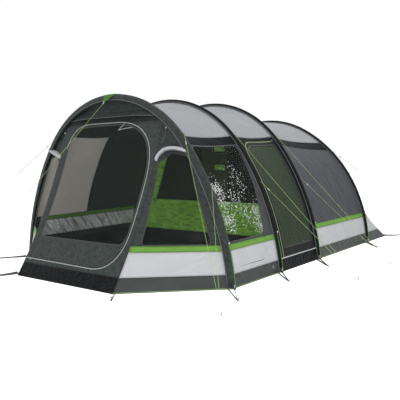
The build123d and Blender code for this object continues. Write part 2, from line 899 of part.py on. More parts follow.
slider_z = front_door_low - 9
front_slope = front_y(slider_z + 1) - front_y(slider_z)
front_out = Vector(0, -1, front_slope).normalized()
zip_slider(
    "front_zip_slider",
    (front_door_left + 25, front_y(slider_z) - 2 * gap, slider_z),
    tuple(front_out),
    (1, 0, 0),
)
side_slider_z = side_door_top + 9
side_face_x = hoop_x(main_hoop, 2 * gap, side_slider_z)
side_out = Vector(side_face_x, 0, side_slider_z - main_hoop["crown_z"]).normalized()
zip_slider("side_zip_slider", (side_face_x, side_door_rear - 40, side_slider_z), tuple(side_out), (0, 1, 0))


# ---------------------------------------------------------------- guy lines
guy_pegs = {
    "front_right": (2100, -2480),
    "second_right": (2500, -650),
    "third_right": (2500, 270),
    "rear_right": (2500, 2560),
    "front_left": (-2400, -2750),
}
guy_hoops = {
    "front_right": "front",
    "second_right": "second",
    "third_right": "third",
    "rear_right": "rear",
    "front_left": "front",
}
loop_pieces = []


def hoop_point(hoop, out, y, z):
    """Point out outside the skin, level with height z on the skin, and the normal there."""
    on_crown = z > hoop_joint(hoop, 0)[1]
    centre_x, centre_z = (0, hoop["crown_z"]) if on_crown else (hoop["side_x"], hoop["side_z"])
    normal = Vector(hoop_x(hoop, 0, z) - centre_x, 0, z - centre_z).normalized()
    return Vector(hoop_x(hoop, 0, z), y, z) + normal * out, normal


def loop_on(point, normal, across):
    """Webbing loop sewn to a sleeve, which a guy line is tied to."""
    with BuildPart() as loop:
        with BuildSketch(Plane(origin=point, x_dir=across, z_dir=normal)):
            RectangleRounded(loop_size, loop_size, 3)
        extrude(amount=loop_size)
        with BuildSketch(Plane(origin=point + normal * loop_size / 2, x_dir=normal, z_dir=across)):
            RectangleRounded(loop_size - 6, loop_size - 6, 2)
        extrude(amount=loop_size, both=True, mode=Mode.SUBTRACT)
    return loop.part


def line_start(loop_at, towards):
    """Point on the way from a loop to a peg where the cord's square end just clears the loop."""
    base, normal, across = loop_at
    centre = base + normal * loop_size / 2
    run = (towards - centre).normalized()
    other = normal.cross(across)
    straight = max(abs(run.dot(side)) for side in (normal, across, other))
    reach = loop_size / 2 + line_gap + guy_radius * sqrt(1 - straight * straight)
    return centre + run * reach / straight


loops = {}
for place, (hoop, y, radius) in hoops.items():
    upper_z = rear_guy_upper_z if place == "rear" else guy_upper_z
    for level, z in {"upper": upper_z, "lower": guy_lower_z}.items():
        base, normal = hoop_point(hoop, 2 * radius + 2 * gap, y, z)
        loops[place, level] = (base, normal, Vector(0, 1, 0))
        loop = loop_on(*loops[place, level])
        loop_pieces += [loop, on_left(loop)]
apex_loop = (
    Vector(0, front_hoop_y - front_sleeve_radius - gap, roof_height + front_sleeve_radius),
    Vector(0, -1, 0),
    Vector(1, 0, 0),
)
loop_pieces.append(loop_on(*apex_loop))
save(grouped(*loop_pieces), "guy_loops")


def corner_radii(points):
    """Radius at each corner of a route: 0.45 of its shorter run over the tangent of half the turn."""
    radii = []
    for before, here, after in zip(points, points[1:], points[2:]):
        run_in, run_out = here - before, after - here
        turn = run_in.get_angle(run_out)
        radii.append(0.45 * min(run_in.length, run_out.length) / tan(radians(turn / 2)))
    return radii


def guy_line(name, points):
    """Cord tube along straight runs joined by arcs, with its volume check printed."""
    radii = corner_radii(points)
    with BuildPart() as cord:
        with BuildLine() as path:
            FilletPolyline(*points, radius=radii)
        with BuildSketch(Plane(origin=points[0], z_dir=path.wire() % 0)):
            Circle(guy_radius)
        sweep(path=path.wire())
    length = path.wire().length
    ratio = cord.part.volume / (pi * guy_radius**2 * length)
    rounded = [round(radius, 1) for radius in radii]
    print(name, "length", round(length), "radii", rounded, "volume ratio", round(ratio, 4))
    save(cord.part, name)


def runner(name, centre, direction):
    """Flat line adjuster that slides along the cord."""
    with BuildPart() as plate:
        with BuildSketch(Plane(origin=centre, z_dir=direction)):
            RectangleRounded(runner_width, runner_thickness, 2)
            Circle(runner_bore, mode=Mode.SUBTRACT)
        extrude(amount=runner_length / 2, both=True)
    save(plate.part, name)


def round_the_peg(peg_at, towards):
    """Two corners of a cord behind a peg's shaft, seen from the tent."""
    away = Vector(peg_at[0] - towards.X, peg_at[1] - towards.Y).normalized()
    side = Vector(-away.Y, away.X)
    reach = peg_radius + guy_radius + peg_line_gap
    first = Vector(*peg_at, guy_peg_z) + (away + side) * reach
    second = Vector(*peg_at, guy_peg_z) + (away - side) * reach
    return first, second


guy_routes = {}
for name, place in guy_hoops.items():
    side = 1 if guy_pegs[name][0] > 0 else -1
    upper_loop, lower_loop = (
        tuple(Vector(side * part.X, part.Y, part.Z) for part in loops[place, level])
        for level in ("upper", "lower")
    )
    first, second = round_the_peg(guy_pegs[name], (upper_loop[0] + lower_loop[0]) / 2)
    guy_routes[name] = [line_start(upper_loop, first), first, second, line_start(lower_loop, second)]
front_guy_peg = (0, -3860)
first, second = round_the_peg(front_guy_peg, apex_loop[0])
guy_routes["front"] = [
    line_start(apex_loop, first) - (first - apex_loop[0]).normalized() * edge_ease,
    first,
    second,
    second + (apex_loop[0] - second).normalized() * knot_tail,
]
runner_leg = {"second_right": -1, "third_right": -1}
for name, points in guy_routes.items():
    guy_line(f"guy_line_{name}", points)
    start, end = (points[3], points[2]) if name in runner_leg else (points[0], points[1])
    direction = (end - start).normalized()
    runner(f"guy_runner_{name}", start + direction * runner_start, direction)
    print("runner", name, [round(v, 4) for v in direction])
guy_peg_heads = [peg(x, y, (1 if x > 0 else -1, 0, 0)) for x, y in guy_pegs.values()]
save(grouped(*guy_peg_heads, peg(*front_guy_peg, (0, -1, 0))), "guy_pegs")
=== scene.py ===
from functools import partial
from math import asin, atan2, cos, pi, radians, sin, sqrt

import bmesh
import bpy
from mathutils import Matrix, Vector, noise
from mathutils.geometry import delaunay_2d_cdt
from mathutils.kdtree import KDTree


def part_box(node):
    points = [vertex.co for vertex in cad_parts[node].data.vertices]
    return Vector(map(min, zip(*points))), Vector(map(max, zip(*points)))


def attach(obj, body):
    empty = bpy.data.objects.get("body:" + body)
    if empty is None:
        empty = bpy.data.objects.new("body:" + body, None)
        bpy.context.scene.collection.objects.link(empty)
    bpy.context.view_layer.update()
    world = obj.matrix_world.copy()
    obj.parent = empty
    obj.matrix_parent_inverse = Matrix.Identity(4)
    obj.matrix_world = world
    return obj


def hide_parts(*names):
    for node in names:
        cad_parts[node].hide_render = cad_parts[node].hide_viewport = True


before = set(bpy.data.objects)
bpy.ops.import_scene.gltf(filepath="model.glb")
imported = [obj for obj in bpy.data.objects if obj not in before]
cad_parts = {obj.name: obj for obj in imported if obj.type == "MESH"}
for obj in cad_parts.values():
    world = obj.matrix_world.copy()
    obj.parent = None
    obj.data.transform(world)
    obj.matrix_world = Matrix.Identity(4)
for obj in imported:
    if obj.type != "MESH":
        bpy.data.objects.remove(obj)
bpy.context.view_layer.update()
print("stage: frame loaded")


# small helpers

def deselectAll():
    bpy.ops.object.select_all(action="DESELECT")


def onlySelect(piece):
    deselectAll()
    piece.select_set(True)
    bpy.context.view_layer.objects.active = piece


def addObject(name, data):
    piece = bpy.data.objects.new(name, data)
    bpy.context.scene.collection.objects.link(piece)
    return piece


def linear(red, green, blue):
    # colours are written as they look on a screen, 0 to 255
    out = []
    for value in (red, green, blue):
        share = value / 255
        out.append(share / 12.92 if share <= 0.04045 else ((share + 0.055) / 1.055) ** 2.4)
    return (*out, 1)


def smoothStep(value, low, high):
    share = min(max((value - low) / (high - low), 0), 1)
    return share * share * (3 - 2 * share)


def mix(a, b, share):
    return a + (b - a) * share


def middle(node, axis):
    low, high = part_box(node)
    return (low[axis] + high[axis]) / 2


def setInputs(tree, node, inputs):
    # each value is a number, a colour or another node's output
    for key, value in inputs.items():
        if isinstance(value, bpy.types.NodeSocket):
            tree.links.new(value, node.inputs[key])
        else:
            node.inputs[key].default_value = value


def addNode(tree, kind, inputs=None, **settings):
    node = tree.nodes.new("ShaderNode" + kind)
    for key, value in settings.items():
        setattr(node, key, value)
    setInputs(tree, node, inputs or {})
    return node


def maths(tree, operation, *values):
    return addNode(tree, "Math", dict(enumerate(values)), operation=operation).outputs[0]


# camera, lights and floor

view = {
    "place": (4.7896, -6.1202, 1.3453),
    "right": (0.78470, 0.61954, -0.02050),
    "up": (-0.03593, 0.07847, 0.99627),
    "forward": (-0.61884, 0.78103, -0.08383),
    "lens": 51.05,
    "sensor": 36,
}
cameraData = bpy.data.cameras.new("view")
cameraData.lens = view["lens"]
cameraData.sensor_width = view["sensor"]
camera = addObject("view", cameraData)
turn = Matrix([view["right"], view["up"], [-part for part in view["forward"]]]).transposed()
camera.matrix_world = Matrix.Translation(view["place"]) @ turn.to_4x4()
bpy.context.scene.camera = camera
bpy.context.scene.view_settings.view_transform = "Standard"

lampAim = (0, 0, 0.8)
lamps = {
    "key": {"place": (-3.0, -7.0, 6.5), "size": 5.0, "watts": 270},
    "fill": {"place": (5.0, -7.5, 2.2), "size": 3.5, "watts": 190},
    "side": {"place": (7.5, -1.5, 5.0), "size": 5.0, "watts": 190},
    "top": {"place": (1.5, 3.5, 8.0), "size": 6.0, "watts": 330},
}
for lampName, lamp in lamps.items():
    lampData = bpy.data.lights.new(lampName, "AREA")
    lampData.size = lamp["size"]
    lampData.energy = lamp["watts"]
    lampObject = addObject(lampName, lampData)
    lampObject.location = lamp["place"]
    aim = Vector(lampAim) - Vector(lamp["place"])
    lampObject.rotation_euler = aim.to_track_quat("-Z", "Y").to_euler()


def cameraMask(tree):
    # 1 where the background is seen, straight, mirrored or through film
    path = addNode(tree, "LightPath").outputs
    straight = maths(tree, "MAXIMUM", path["Is Camera Ray"], path["Is Glossy Ray"])
    return maths(tree, "MAXIMUM", straight, path["Is Transmission Ray"])


# the far floor glows up to the white of the background
studio = {"sky": (0.92, 0.96, 1, 1), "skyStrength": 0.34, "background": (1, 1, 1, 1), "floorSize": 60, "floorZ": -0.001,
          "floor": (0.93, 0.93, 0.93, 1), "floorRoughness": 0.9, "floorGlow": 0.75}
world = bpy.data.worlds.new("studio")
bpy.context.scene.world = world
world.use_nodes = True
worldTree = world.node_tree
worldTree.nodes.clear()
sky = addNode(worldTree, "Background", {"Color": studio["sky"], "Strength": studio["skyStrength"]})
white = addNode(worldTree, "Background", {"Color": studio["background"], "Strength": 1})
worldMix = addNode(worldTree, "MixShader", {0: cameraMask(worldTree), 1: sky.outputs[0], 2: white.outputs[0]})
addNode(worldTree, "OutputWorld", {0: worldMix.outputs[0]})

bpy.ops.mesh.primitive_plane_add(size=studio["floorSize"], location=(0, 0, studio["floorZ"]))
floor = bpy.context.active_object
floor.name = "floor"
floorMaterial = bpy.data.materials.new("floorPaper")
floorMaterial.use_nodes = True
floorTree = floorMaterial.node_tree
setInputs(floorTree, floorTree.nodes["Principled BSDF"], {
    "Base Color": studio["floor"], "Roughness": studio["floorRoughness"], "Emission Color": studio["background"],
    "Emission Strength": maths(floorTree, "MULTIPLY", cameraMask(floorTree), studio["floorGlow"])})
floor.data.materials.append(floorMaterial)
print("stage: camera, lights and floor")


# guy lines: the routes' points, from the upper loop round the peg to the lower loop

guyRoutes = {
    "front_right": [(1.0656, -1.6540, 1.5240), (2.0982, -2.4724, 0.0275), (2.1075, -2.4798, 0.0140),
                    (2.1002, -2.4875, 0.0140), (2.0916, -2.4772, 0.0261), (1.4062, -1.6564, 0.9940)],
    "second_right": [(1.0618, -0.7247, 1.5214), (2.4925, -0.6451, 0.0270), (2.5050, -0.6444, 0.0140),
                     (2.5056, -0.6550, 0.0140), (2.4922, -0.6558, 0.0259), (1.4027, -0.7245, 0.9926)],
    "third_right": [(1.0618, 0.1903, 1.5214), (2.4925, 0.2749, 0.0270), (2.5050, 0.2756, 0.0140),
                    (2.5056, 0.2650, 0.0140), (2.4922, 0.2641, 0.0259), (1.4027, 0.1905, 0.9926)],
    "rear_right": [(1.1357, 1.7091, 1.3036), (2.4895, 2.5599, 0.0252), (2.5014, 2.5674, 0.0140),
                   (2.5074, 2.5586, 0.0140), (2.4956, 2.5497, 0.0243), (1.3803, 1.7104, 0.9968)],
    "front_left": [(-1.0665, -1.6549, 1.5246), (-2.3898, -2.7489, 0.0258), (-2.4002, -2.7575, 0.0140),
                   (-2.4075, -2.7498, 0.0140), (-2.3974, -2.7387, 0.0239), (-1.4079, -1.6577, 0.9947)],
    "front": [(0.0000, -1.6872, 1.9870), (0.0053, -3.8520, 0.0261), (0.0053, -3.8653, 0.0140),
              (-0.0053, -3.8653, 0.0140), (-0.0053, -3.8549, 0.0234)],
}
guyLine = {"diameter": 0.003, "lengths": {"front": 2.959, "front_right": 3.478, "second_right": 3.571,
                                          "third_right": 3.572, "rear_right": 3.791, "front_left": 4.080}}


def pullCord(name, route):
    curve = bpy.data.curves.new(name, "CURVE")
    curve.dimensions = "3D"
    curve.bevel_depth = 1.0  # times the points' own radius below
    curve.bevel_resolution = 3
    curve.resolution_u = 10
    line = curve.splines.new("NURBS")
    line.points.add(len(route) - 1)
    for point, place in zip(line.points, route):
        point.co = (*place, 1)
        point.radius = guyLine["diameter"] / 2
    line.order_u = 3
    line.use_endpoint_u = True
    return addObject(name, curve)


guyCords = []
for place, route in guyRoutes.items():
    piece = pullCord(f"guyCord.{place}", route)
    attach(piece, "tent")
    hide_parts(f"guy_line_{place}")
    guyCords.append(piece)
print("stage: guy lines")


# tent shape: hoops of three arcs, and the cloth stretched over them

hoopY = {place: middle(f"hoop_pole_{place}", 1) for place in ("front", "second", "third", "rear")}
edgeY = {"front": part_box("mud_flaps")[0][1], "rear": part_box("mud_flaps")[1][1]}
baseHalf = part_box("light_bands")[1][0]
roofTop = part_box("roof_middle_bay")[1][2]
rearTop = roofTop - 0.185
seams = {"roof": 1.525, "rearRoof": 1.445, "band": 1.432, "stripe": 0.43, "light": 0.37, "flap": 0.14}
# how far the cloth pulls in between two hoops a bay apart; most is the limit for wider bays
saddle = {"roof": 0.042, "wall": 0.012, "bay": 0.92, "most": 1.15}


def hoopShape(halfWidth, height, crown, halfAngle):
    across, up = sin(radians(halfAngle)), cos(radians(halfAngle))
    crownZ = height - crown
    jointX, jointZ = crown * across, crownZ + crown * up
    dx, dz = halfWidth - jointX, -jointZ
    side = -(dx * dx + dz * dz) / (2 * (dx * across + dz * up))
    sideX, sideZ = jointX - side * across, jointZ - side * up
    return {"crownZ": crownZ, "crown": crown, "half": radians(halfAngle), "side": side, "sideX": sideX,
            "sideZ": sideZ, "joint": pi / 2 - radians(halfAngle), "foot": atan2(-sideZ, halfWidth - sideX)}


mainHoop = hoopShape(baseHalf, roofTop, 1.340, 52.3)
rearHoop = hoopShape(baseHalf, rearTop, 1.335, 27.9)
hoops = {"front": mainHoop, "second": mainHoop, "third": mainHoop, "rear": rearHoop}
crownLength = mainHoop["crown"] * mainHoop["half"]
sideLength = mainHoop["side"] * (mainHoop["joint"] - mainHoop["foot"])


def hoopAt(hoop, q, grow=0):
    # q is 0 at the top, 0.5 where crown and side meet, 1 at the ground; minus on the left
    share = abs(q) * 2
    if share <= 1:
        angle = pi / 2 - hoop["half"] * share
        x = (hoop["crown"] + grow) * cos(angle)
        z = hoop["crownZ"] + (hoop["crown"] + grow) * sin(angle)
    else:
        angle = mix(hoop["joint"], hoop["foot"], share - 1)
        x = hoop["sideX"] + (hoop["side"] + grow) * cos(angle)
        z = hoop["sideZ"] + (hoop["side"] + grow) * sin(angle)
    return Vector((x if q >= 0 else -x, z))


def upFromFoot(hoop, z, step):
    # q where the hoop first reaches the height z, in even steps from the ground
    q = 1.0
    while hoopAt(hoop, q)[1] < z:
        q -= step
    return q


def bayOf(y):
    stops = list(hoopY.values())
    for low, high in zip(stops, stops[1:]):
        if y <= high:
            return low, high
    return stops[2], stops[3]


def tunnelPoint(q, y):
    rearShare = min(max((y - hoopY["third"]) / (hoopY["rear"] - hoopY["third"]), 0), 1)
    section = hoopAt(mainHoop, q)
    if rearShare > 0:
        section = section.lerp(hoopAt(rearHoop, q), rearShare)
    return Vector((section[0], y, section[1]))


def tunnelNormal(q, y):
    along = tunnelPoint(q + 0.002, y) - tunnelPoint(q - 0.002, y)
    return along.cross(Vector((0, 1, 0))).normalized()


def sagDepth(q, y):
    low, high = bayOf(y)
    share = min(max((y - low) / (high - low), 0), 1)
    bow = 4 * share * (1 - share)
    width = min((high - low) / saddle["bay"], saddle["most"])
    height = 1 - abs(q)
    return bow * width * (saddle["wall"] * smoothStep(height, 0.02, 0.3)
                          + saddle["roof"] * smoothStep(height, 0.3, 0.75))


def flatToQ(u):
    length = abs(u)
    q = length / crownLength / 2 if length <= crownLength else 0.5 + (length - crownLength) / sideLength / 2
    return q if u >= 0 else -q


def qToFlat(q):
    share = abs(q) * 2
    u = share * crownLength if share <= 1 else crownLength + (share - 1) * sideLength
    return u if q >= 0 else -u


def qAtHeight(y, z):
    low, high = 0.0, 1.0
    for _ in range(34):
        q = (low + high) / 2
        if tunnelPoint(q, y)[2] > z:
            low = q
        else:
            high = q
    return (low + high) / 2


def flatAt(y, z):
    return qToFlat(qAtHeight(y, z))


def onTunnel(lift=0.0):
    # maps flat cloth (across, along) to the stretched skin
    def place(u, v):
        q = flatToQ(u)
        return tunnelPoint(q, v) + tunnelNormal(q, v) * (lift - sagDepth(q, v))
    return place


def tunnelOutline(corners, side=1, step=0.05):
    # corners in y and z on one side, filled in and laid flat
    flat = []
    for (y0, z0), (y1, z1) in zip(corners, corners[1:] + corners[:1]):
        count = max(1, round(sqrt((y1 - y0) ** 2 + (z1 - z0) ** 2) / step))
        for index in range(count):
            y, z = mix(y0, y1, index / count), mix(z0, z1, index / count)
            flat.append((side * flatAt(y, z), y))
    return flat


def rounded(corners, radius, steps=6):
    # corners rounded off with short straight steps; one radius, or one for each corner
    out = []
    count = len(corners)
    for index, corner in enumerate(corners):
        here = Vector(corner)
        before, after = Vector(corners[index - 1]), Vector(corners[(index + 1) % count])
        r = radius[index] if isinstance(radius, (list, tuple)) else radius
        if r <= 0:
            out.append(tuple(here))
            continue
        a, b = (before - here).normalized(), (after - here).normalized()
        half = a.angle(b) / 2
        reach = min(r * cos(half) / sin(half) * 1.15, (before - here).length * 0.49, (after - here).length * 0.49)
        start, end = here + a * reach, here + b * reach
        for part in range(steps + 1):
            t = part / steps
            out.append(tuple(start * (1 - t) ** 2 + here * 2 * t * (1 - t) + end * t * t))
    return out


# front wall: one sagging arc from the ground to its top edge, and the wings beside it

frontHalf = 0.78
frontArc = {"ground": (edgeY["front"], 0.0), "sag": (edgeY["front"] + 0.485, 0.86),
            "top": (hoopY["front"] - 0.003, roofTop - 0.275)}


def arcThrough(ground, sag, top):
    ax, az, bx, bz = sag[0] - ground[0], sag[1], top[0] - ground[0], top[1]
    turn = 2 * (ax * bz - az * bx)
    cx = (bz * (ax * ax + az * az) - az * (bx * bx + bz * bz)) / turn
    cz = (ax * (bx * bx + bz * bz) - bx * (ax * ax + az * az)) / turn
    return ground[0] + cx, cz, sqrt(cx * cx + cz * cz)


arcY, arcZ, arcRadius = arcThrough(**frontArc)
wingTop = mainHoop["crownZ"] + sqrt(mainHoop["crown"] ** 2 - frontHalf ** 2)
frontTop = frontArc["top"][1]
jointZ = hoopAt(mainHoop, 0.5)[1]


def frontY(z):
    return arcY + sqrt(arcRadius ** 2 - (z - arcZ) ** 2)


def onFront(lift=0.0):
    def place(x, z):
        y = frontY(z)
        out = Vector((0, -(y - arcY), -(z - arcZ))).normalized()
        return Vector((x, y, z)) + out * lift
    return place


def hoopX(z):
    hoop = mainHoop
    if z > jointZ:
        return sqrt(hoop["crown"] ** 2 - (z - hoop["crownZ"]) ** 2)
    return hoop["sideX"] + sqrt(hoop["side"] ** 2 - (z - hoop["sideZ"]) ** 2)


def wingPoint(x, z, side):
    # seen from the front: where a straight line from the front edge to the hoop passes x and z
    width = max(x - frontHalf, 0.0)

    def acrossAt(a):
        return min(width / max(hoopX(a * wingTop) - frontHalf, 1e-5), 1)

    low, high = 0.0, 1.0
    for _ in range(30):
        a = (low + high) / 2
        if mix(a * frontTop, a * wingTop, acrossAt(a)) > z:
            high = a
        else:
            low = a
    a = (low + high) / 2
    t = acrossAt(a)
    return Vector((side * x, mix(frontY(a * frontTop), hoopY["front"], t), z)), t


def onWing(side, lift=0.0, sag=0.02):
    reach = 0.004  # how far apart the points are that give the cloth's direction

    def place(x, z):
        point, t = wingPoint(x, z, side)
        dx = wingPoint(x + reach, z, side)[0] - wingPoint(max(x - reach, frontHalf), z, side)[0]
        dz = wingPoint(x, z + reach, side)[0] - wingPoint(x, max(z - reach, 0), side)[0]
        out = dx.cross(dz).normalized() * side
        bow = 4 * t * (1 - t) * smoothStep(z, 0.05, 0.5)
        return point + out * (lift - sag * bow)
    return place


print("stage: tent shape")


# shared finishes, built once as groups

def noisy(tree, vector, scale, detail=2, **more):
    inputs = {"Vector": vector, "Scale": scale, "Detail": detail, **more}
    return addNode(tree, "TexNoise", inputs).outputs["Fac"]


def ranged(tree, value, start, end, kind="SMOOTHSTEP", top=1):
    # 0 at start and top at end
    inputs = {"Value": value, "From Min": start, "From Max": end, "To Max": top}
    return addNode(tree, "MapRange", inputs, interpolation_type=kind).outputs[0]


def split(tree, vector):
    return addNode(tree, "SeparateXYZ", {0: vector}).outputs


def blendColours(tree, factor, first, second):
    return addNode(tree, "Mix", {0: factor, 6: first, 7: second}, data_type="RGBA").outputs[2]


def bumpOf(tree, height, distance, strength, normal=None):
    inputs = {"Distance": distance, "Strength": strength, "Height": height}
    if normal is not None:
        inputs["Normal"] = normal
    return addNode(tree, "Bump", inputs).outputs[0]


def newGroup(name, inputs, outputs):
    tree = bpy.data.node_groups.new(name, "ShaderNodeTree")
    for direction, labels in (("INPUT", inputs), ("OUTPUT", outputs)):
        for label, kind in labels.items():
            tree.interface.new_socket(label, in_out=direction, socket_type="NodeSocket" + kind)
    return tree, tree.nodes.new("NodeGroupInput").outputs, tree.nodes.new("NodeGroupOutput"), partial(maths, tree)


def useGroup(tree, group, **inputs):
    return addNode(tree, "Group", inputs, node_tree=group).outputs


weaveGroup, ins, end, do = newGroup("clothWeave", {"Flat": "Vector", "Pitch": "Float"},
                                    {"Height": "Float", "Shade": "Float"})
flatParts = split(weaveGroup, ins["Flat"])
turns = do("DIVIDE", 2 * pi, ins["Pitch"])
warp, weft = (do("SINE", do("MULTIPLY", flatParts[axis], turns)) for axis in (0, 1))
threads = do("MULTIPLY", warp, weft)
setInputs(weaveGroup, end, {"Height": do("MULTIPLY_ADD", threads, 0.5, 0.5),
                            "Shade": do("MULTIPLY_ADD", threads, 0.035, 1.0)})

# soft folds everywhere, and sharp fold lines in patches, with painted shade: crests and fold lines painted lighter,
# hollows darker
creases = {"warp": 0.4, "line": 0.035, "patchScale": 2.3, "patchFrom": 0.40, "patchTo": 0.62, "swell": 1.6,
           "lineHeight": 0.25}
creaseGroup, ins, end, do = newGroup(
    "clothCreases", {"Flat": "Vector", "Across": "Float", "Along": "Float", "Turn": "Float", "Mark": "Float"},
    {"Height": "Float", "Shade": "Float"})
spin = addNode(creaseGroup, "VectorRotate", {"Vector": ins["Flat"], "Angle": ins["Turn"]}, rotation_type="Z_AXIS")
stretch = addNode(creaseGroup, "CombineXYZ", {0: ins["Across"], 1: ins["Along"]})
scaled = addNode(creaseGroup, "VectorMath", {0: spin.outputs[0], 1: stretch.outputs[0]}, operation="MULTIPLY")
folds = noisy(creaseGroup, scaled.outputs[0], 1, Distortion=creases["warp"])
lean = do("SUBTRACT", folds, 0.5)
foldLine = ranged(creaseGroup, do("ABSOLUTE", lean), creases["line"], 0, "SMOOTHERSTEP")
patches = noisy(creaseGroup, ins["Flat"], creases["patchScale"])
gated = do("MULTIPLY", foldLine, ranged(creaseGroup, patches, creases["patchFrom"], creases["patchTo"]))
# painted shade and highlights on the folds: crests and fold lines lighter, hollows darker
lit = do("ADD", gated, do("MULTIPLY", lean, creases["swell"]))
lineHeight = do("MULTIPLY", gated, creases["lineHeight"])
setInputs(creaseGroup, end, {"Height": do("MULTIPLY_ADD", folds, creases["swell"], lineHeight),
                             "Shade": do("MULTIPLY_ADD", lit, ins["Mark"], 1.0)})

# slow and fine changes of tone, and a little dust near the ground
tones = {"cloudScale": 2.2, "fineScale": 160, "fineShare": 0.5, "dustTop": 0.16, "dust": (140, 132, 118),
         "roughSwing": 0.25}
toneGroup, ins, end, do = newGroup(
    "clothTone", {"Colour": "Color", "Place": "Vector", "Variation": "Float", "Dust": "Float"},
    {"Colour": "Color", "Roughness": "Float"})
cloudy = noisy(toneGroup, ins["Place"], tones["cloudScale"], 5)
swing = do("SUBTRACT", cloudy, 0.5)
fine = noisy(toneGroup, ins["Place"], tones["fineScale"])
fineSwing = do("MULTIPLY", do("SUBTRACT", fine, 0.5), tones["fineShare"])
both = do("MULTIPLY", do("ADD", swing, fineSwing), ins["Variation"])
bright = do("ADD", do("MULTIPLY", both, 2.0), 1.0)
graded = addNode(toneGroup, "HueSaturation", {"Color": ins["Colour"], "Value": bright}).outputs[0]
lowDust = ranged(toneGroup, split(toneGroup, ins["Place"])[2], tones["dustTop"], 0, "LINEAR")
dusty = do("MULTIPLY", do("MULTIPLY", lowDust, cloudy), ins["Dust"])
setInputs(toneGroup, end, {"Colour": blendColours(toneGroup, dusty, graded, linear(*tones["dust"])),
                           "Roughness": do("MULTIPLY_ADD", swing, tones["roughSwing"], 0.0)})

# two rows of stitches beside every cut edge, on a turned-in hem
hemLook = {"stitch": 0.0045, "dash": 0.68, "rows": (0.003, 0.010), "thread": 0.0006, "lapStart": 0.0132,
           "lapEnd": 0.0112, "sunk": 0.6, "darker": -0.12}
hemGroup, ins, end, do = newGroup("hemStitches", {"Hem": "Vector"},
                                  {"Thread": "Float", "Height": "Float", "Shade": "Float"})
hemParts = split(hemGroup, ins["Hem"])
dash = do("LESS_THAN", do("FRACT", do("DIVIDE", hemParts[0], hemLook["stitch"])), hemLook["dash"])
rows = [do("LESS_THAN", do("ABSOLUTE", do("SUBTRACT", hemParts[1], row)), hemLook["thread"])
        for row in hemLook["rows"]]
thread = do("MULTIPLY", do("MAXIMUM", *rows), dash)
lap = ranged(hemGroup, hemParts[1], hemLook["lapStart"], hemLook["lapEnd"])
setInputs(hemGroup, end, {"Thread": thread, "Height": do("SUBTRACT", lap, do("MULTIPLY", thread, hemLook["sunk"])),
                          "Shade": do("MULTIPLY_ADD", lap, hemLook["darker"], 1.0)})


def newMaterial(name):
    material = bpy.data.materials.new(name)
    material.use_nodes = True
    tree = material.node_tree
    return material, tree, tree.nodes["Principled BSDF"], partial(maths, tree)


def mapped(tree, layer):
    return addNode(tree, "UVMap", uv_map=layer).outputs[0]


def toned(tree, colour, variation, dust):
    place = addNode(tree, "TexCoord").outputs["Object"]
    tone = useGroup(tree, toneGroup, Colour=linear(*colour), Place=place, Variation=variation, Dust=dust)
    return tone["Colour"], tone["Roughness"], place


# for each cloth: colour, roughness, sheen, gloss, creases (waves a metre across and along, turn, depth, painted fold
# shade), thread
clothFinishes = {
    "roofCloth": ((145, 147, 150), 0.62, 0.04, 0.2, (5, 1.4, 0.25, 0.012, 0.10), (120, 120, 124)),
    "bandCloth": ((187, 188, 190), 0.60, 0.03, 0.2, (7, 2.2, 1.1, 0.012, 0.10), (150, 150, 152)),
    "greyCloth": ((67, 68, 72), 0.56, 0.04, 0.12, (34, 4.0, 1.35, 0.014, 0.5), (40, 40, 42)),
    "frontCloth": ((52, 58, 56), 0.55, 0.04, 0.12, (46, 15, 1.9, 0.014, 0.9), (36, 38, 38)),
    # painted shade: the front cloth painted darker for the gable and rain flap, which stand in shade
    "frontClothInShade": ((42, 49, 46), 0.56, 0.03, 0.1, (24, 8, 1.3, 0.016, 0.7), (30, 33, 32)),
    "darkCloth": ((14, 19, 20), 0.58, 0.03, 0.03, (10, 2.0, 0.3, 0.010, 0.25), (60, 64, 62)),
    "flapCloth": ((62, 66, 65), 0.50, 0.03, 0.15, (10, 3.0, 0.6, 0.014, 0.25), (40, 42, 42)),
    # strong painted fold shade: glints painted on the black flap's crumples
    "blackFlapCloth": ((9, 12, 14), 0.42, 0.02, 0.05, (30, 30, 0.9, 0.02, 2.2), (50, 50, 50)),
    "blackCloth": ((22, 23, 24), 0.55, 0.03, 0.08, (30, 6, 1.2, 0.006, 0.3), (52, 52, 52)),
    "limeCloth": ((104, 150, 62), 0.58, 0.04, 0.15, (14, 3, 1.1, 0.008, 0.16), (62, 96, 36)),
    "gussetCloth": ((64, 108, 28), 0.58, 0.03, 0.1, (14, 3, 1.1, 0.008, 0.3), (46, 76, 24)),
    "innerGreen": ((158, 228, 84), 0.62, 0.05, 0.15, (7, 24, 0.10, 0.02, 0.75), (60, 96, 36)),
    "innerDark": ((48, 66, 36), 0.66, 0.03, 0.1, (5, 2.5, 0.9, 0.016, 0.3), (34, 50, 26)),
    "linerCloth": ((50, 57, 57), 0.60, 0.03, 0.1, (7, 2, 0.4, 0.012, 0.3), (28, 30, 30)),
    "blindCloth": ((200, 195, 187), 0.60, 0.03, 0.15, (4, 1.5, 0.2, 0.006, 0.06), (96, 94, 90)),
    # the skirt's strong fold marks are painted highlights for the shine of its creased film
    "skirtFilm": ((226, 229, 232), 0.2, 0.0, 0.8, (3.2, 24, 0.75, 0.03, 1.5), (50, 50, 52)),
    "groundsheetCloth": ((9, 10, 10), 0.5, 0.0, 0.1, (5, 4, 0.5, 0.012, 0.4), (40, 40, 40)),
}
clothLook = {"variation": 0.10, "paleDust": 0.08, "darkDust": 0.015, "pale": 300, "sheenRoughness": 0.4,
             "weave": 0.0018, "weaveDepth": 0.0002, "hemDepth": 0.0012}


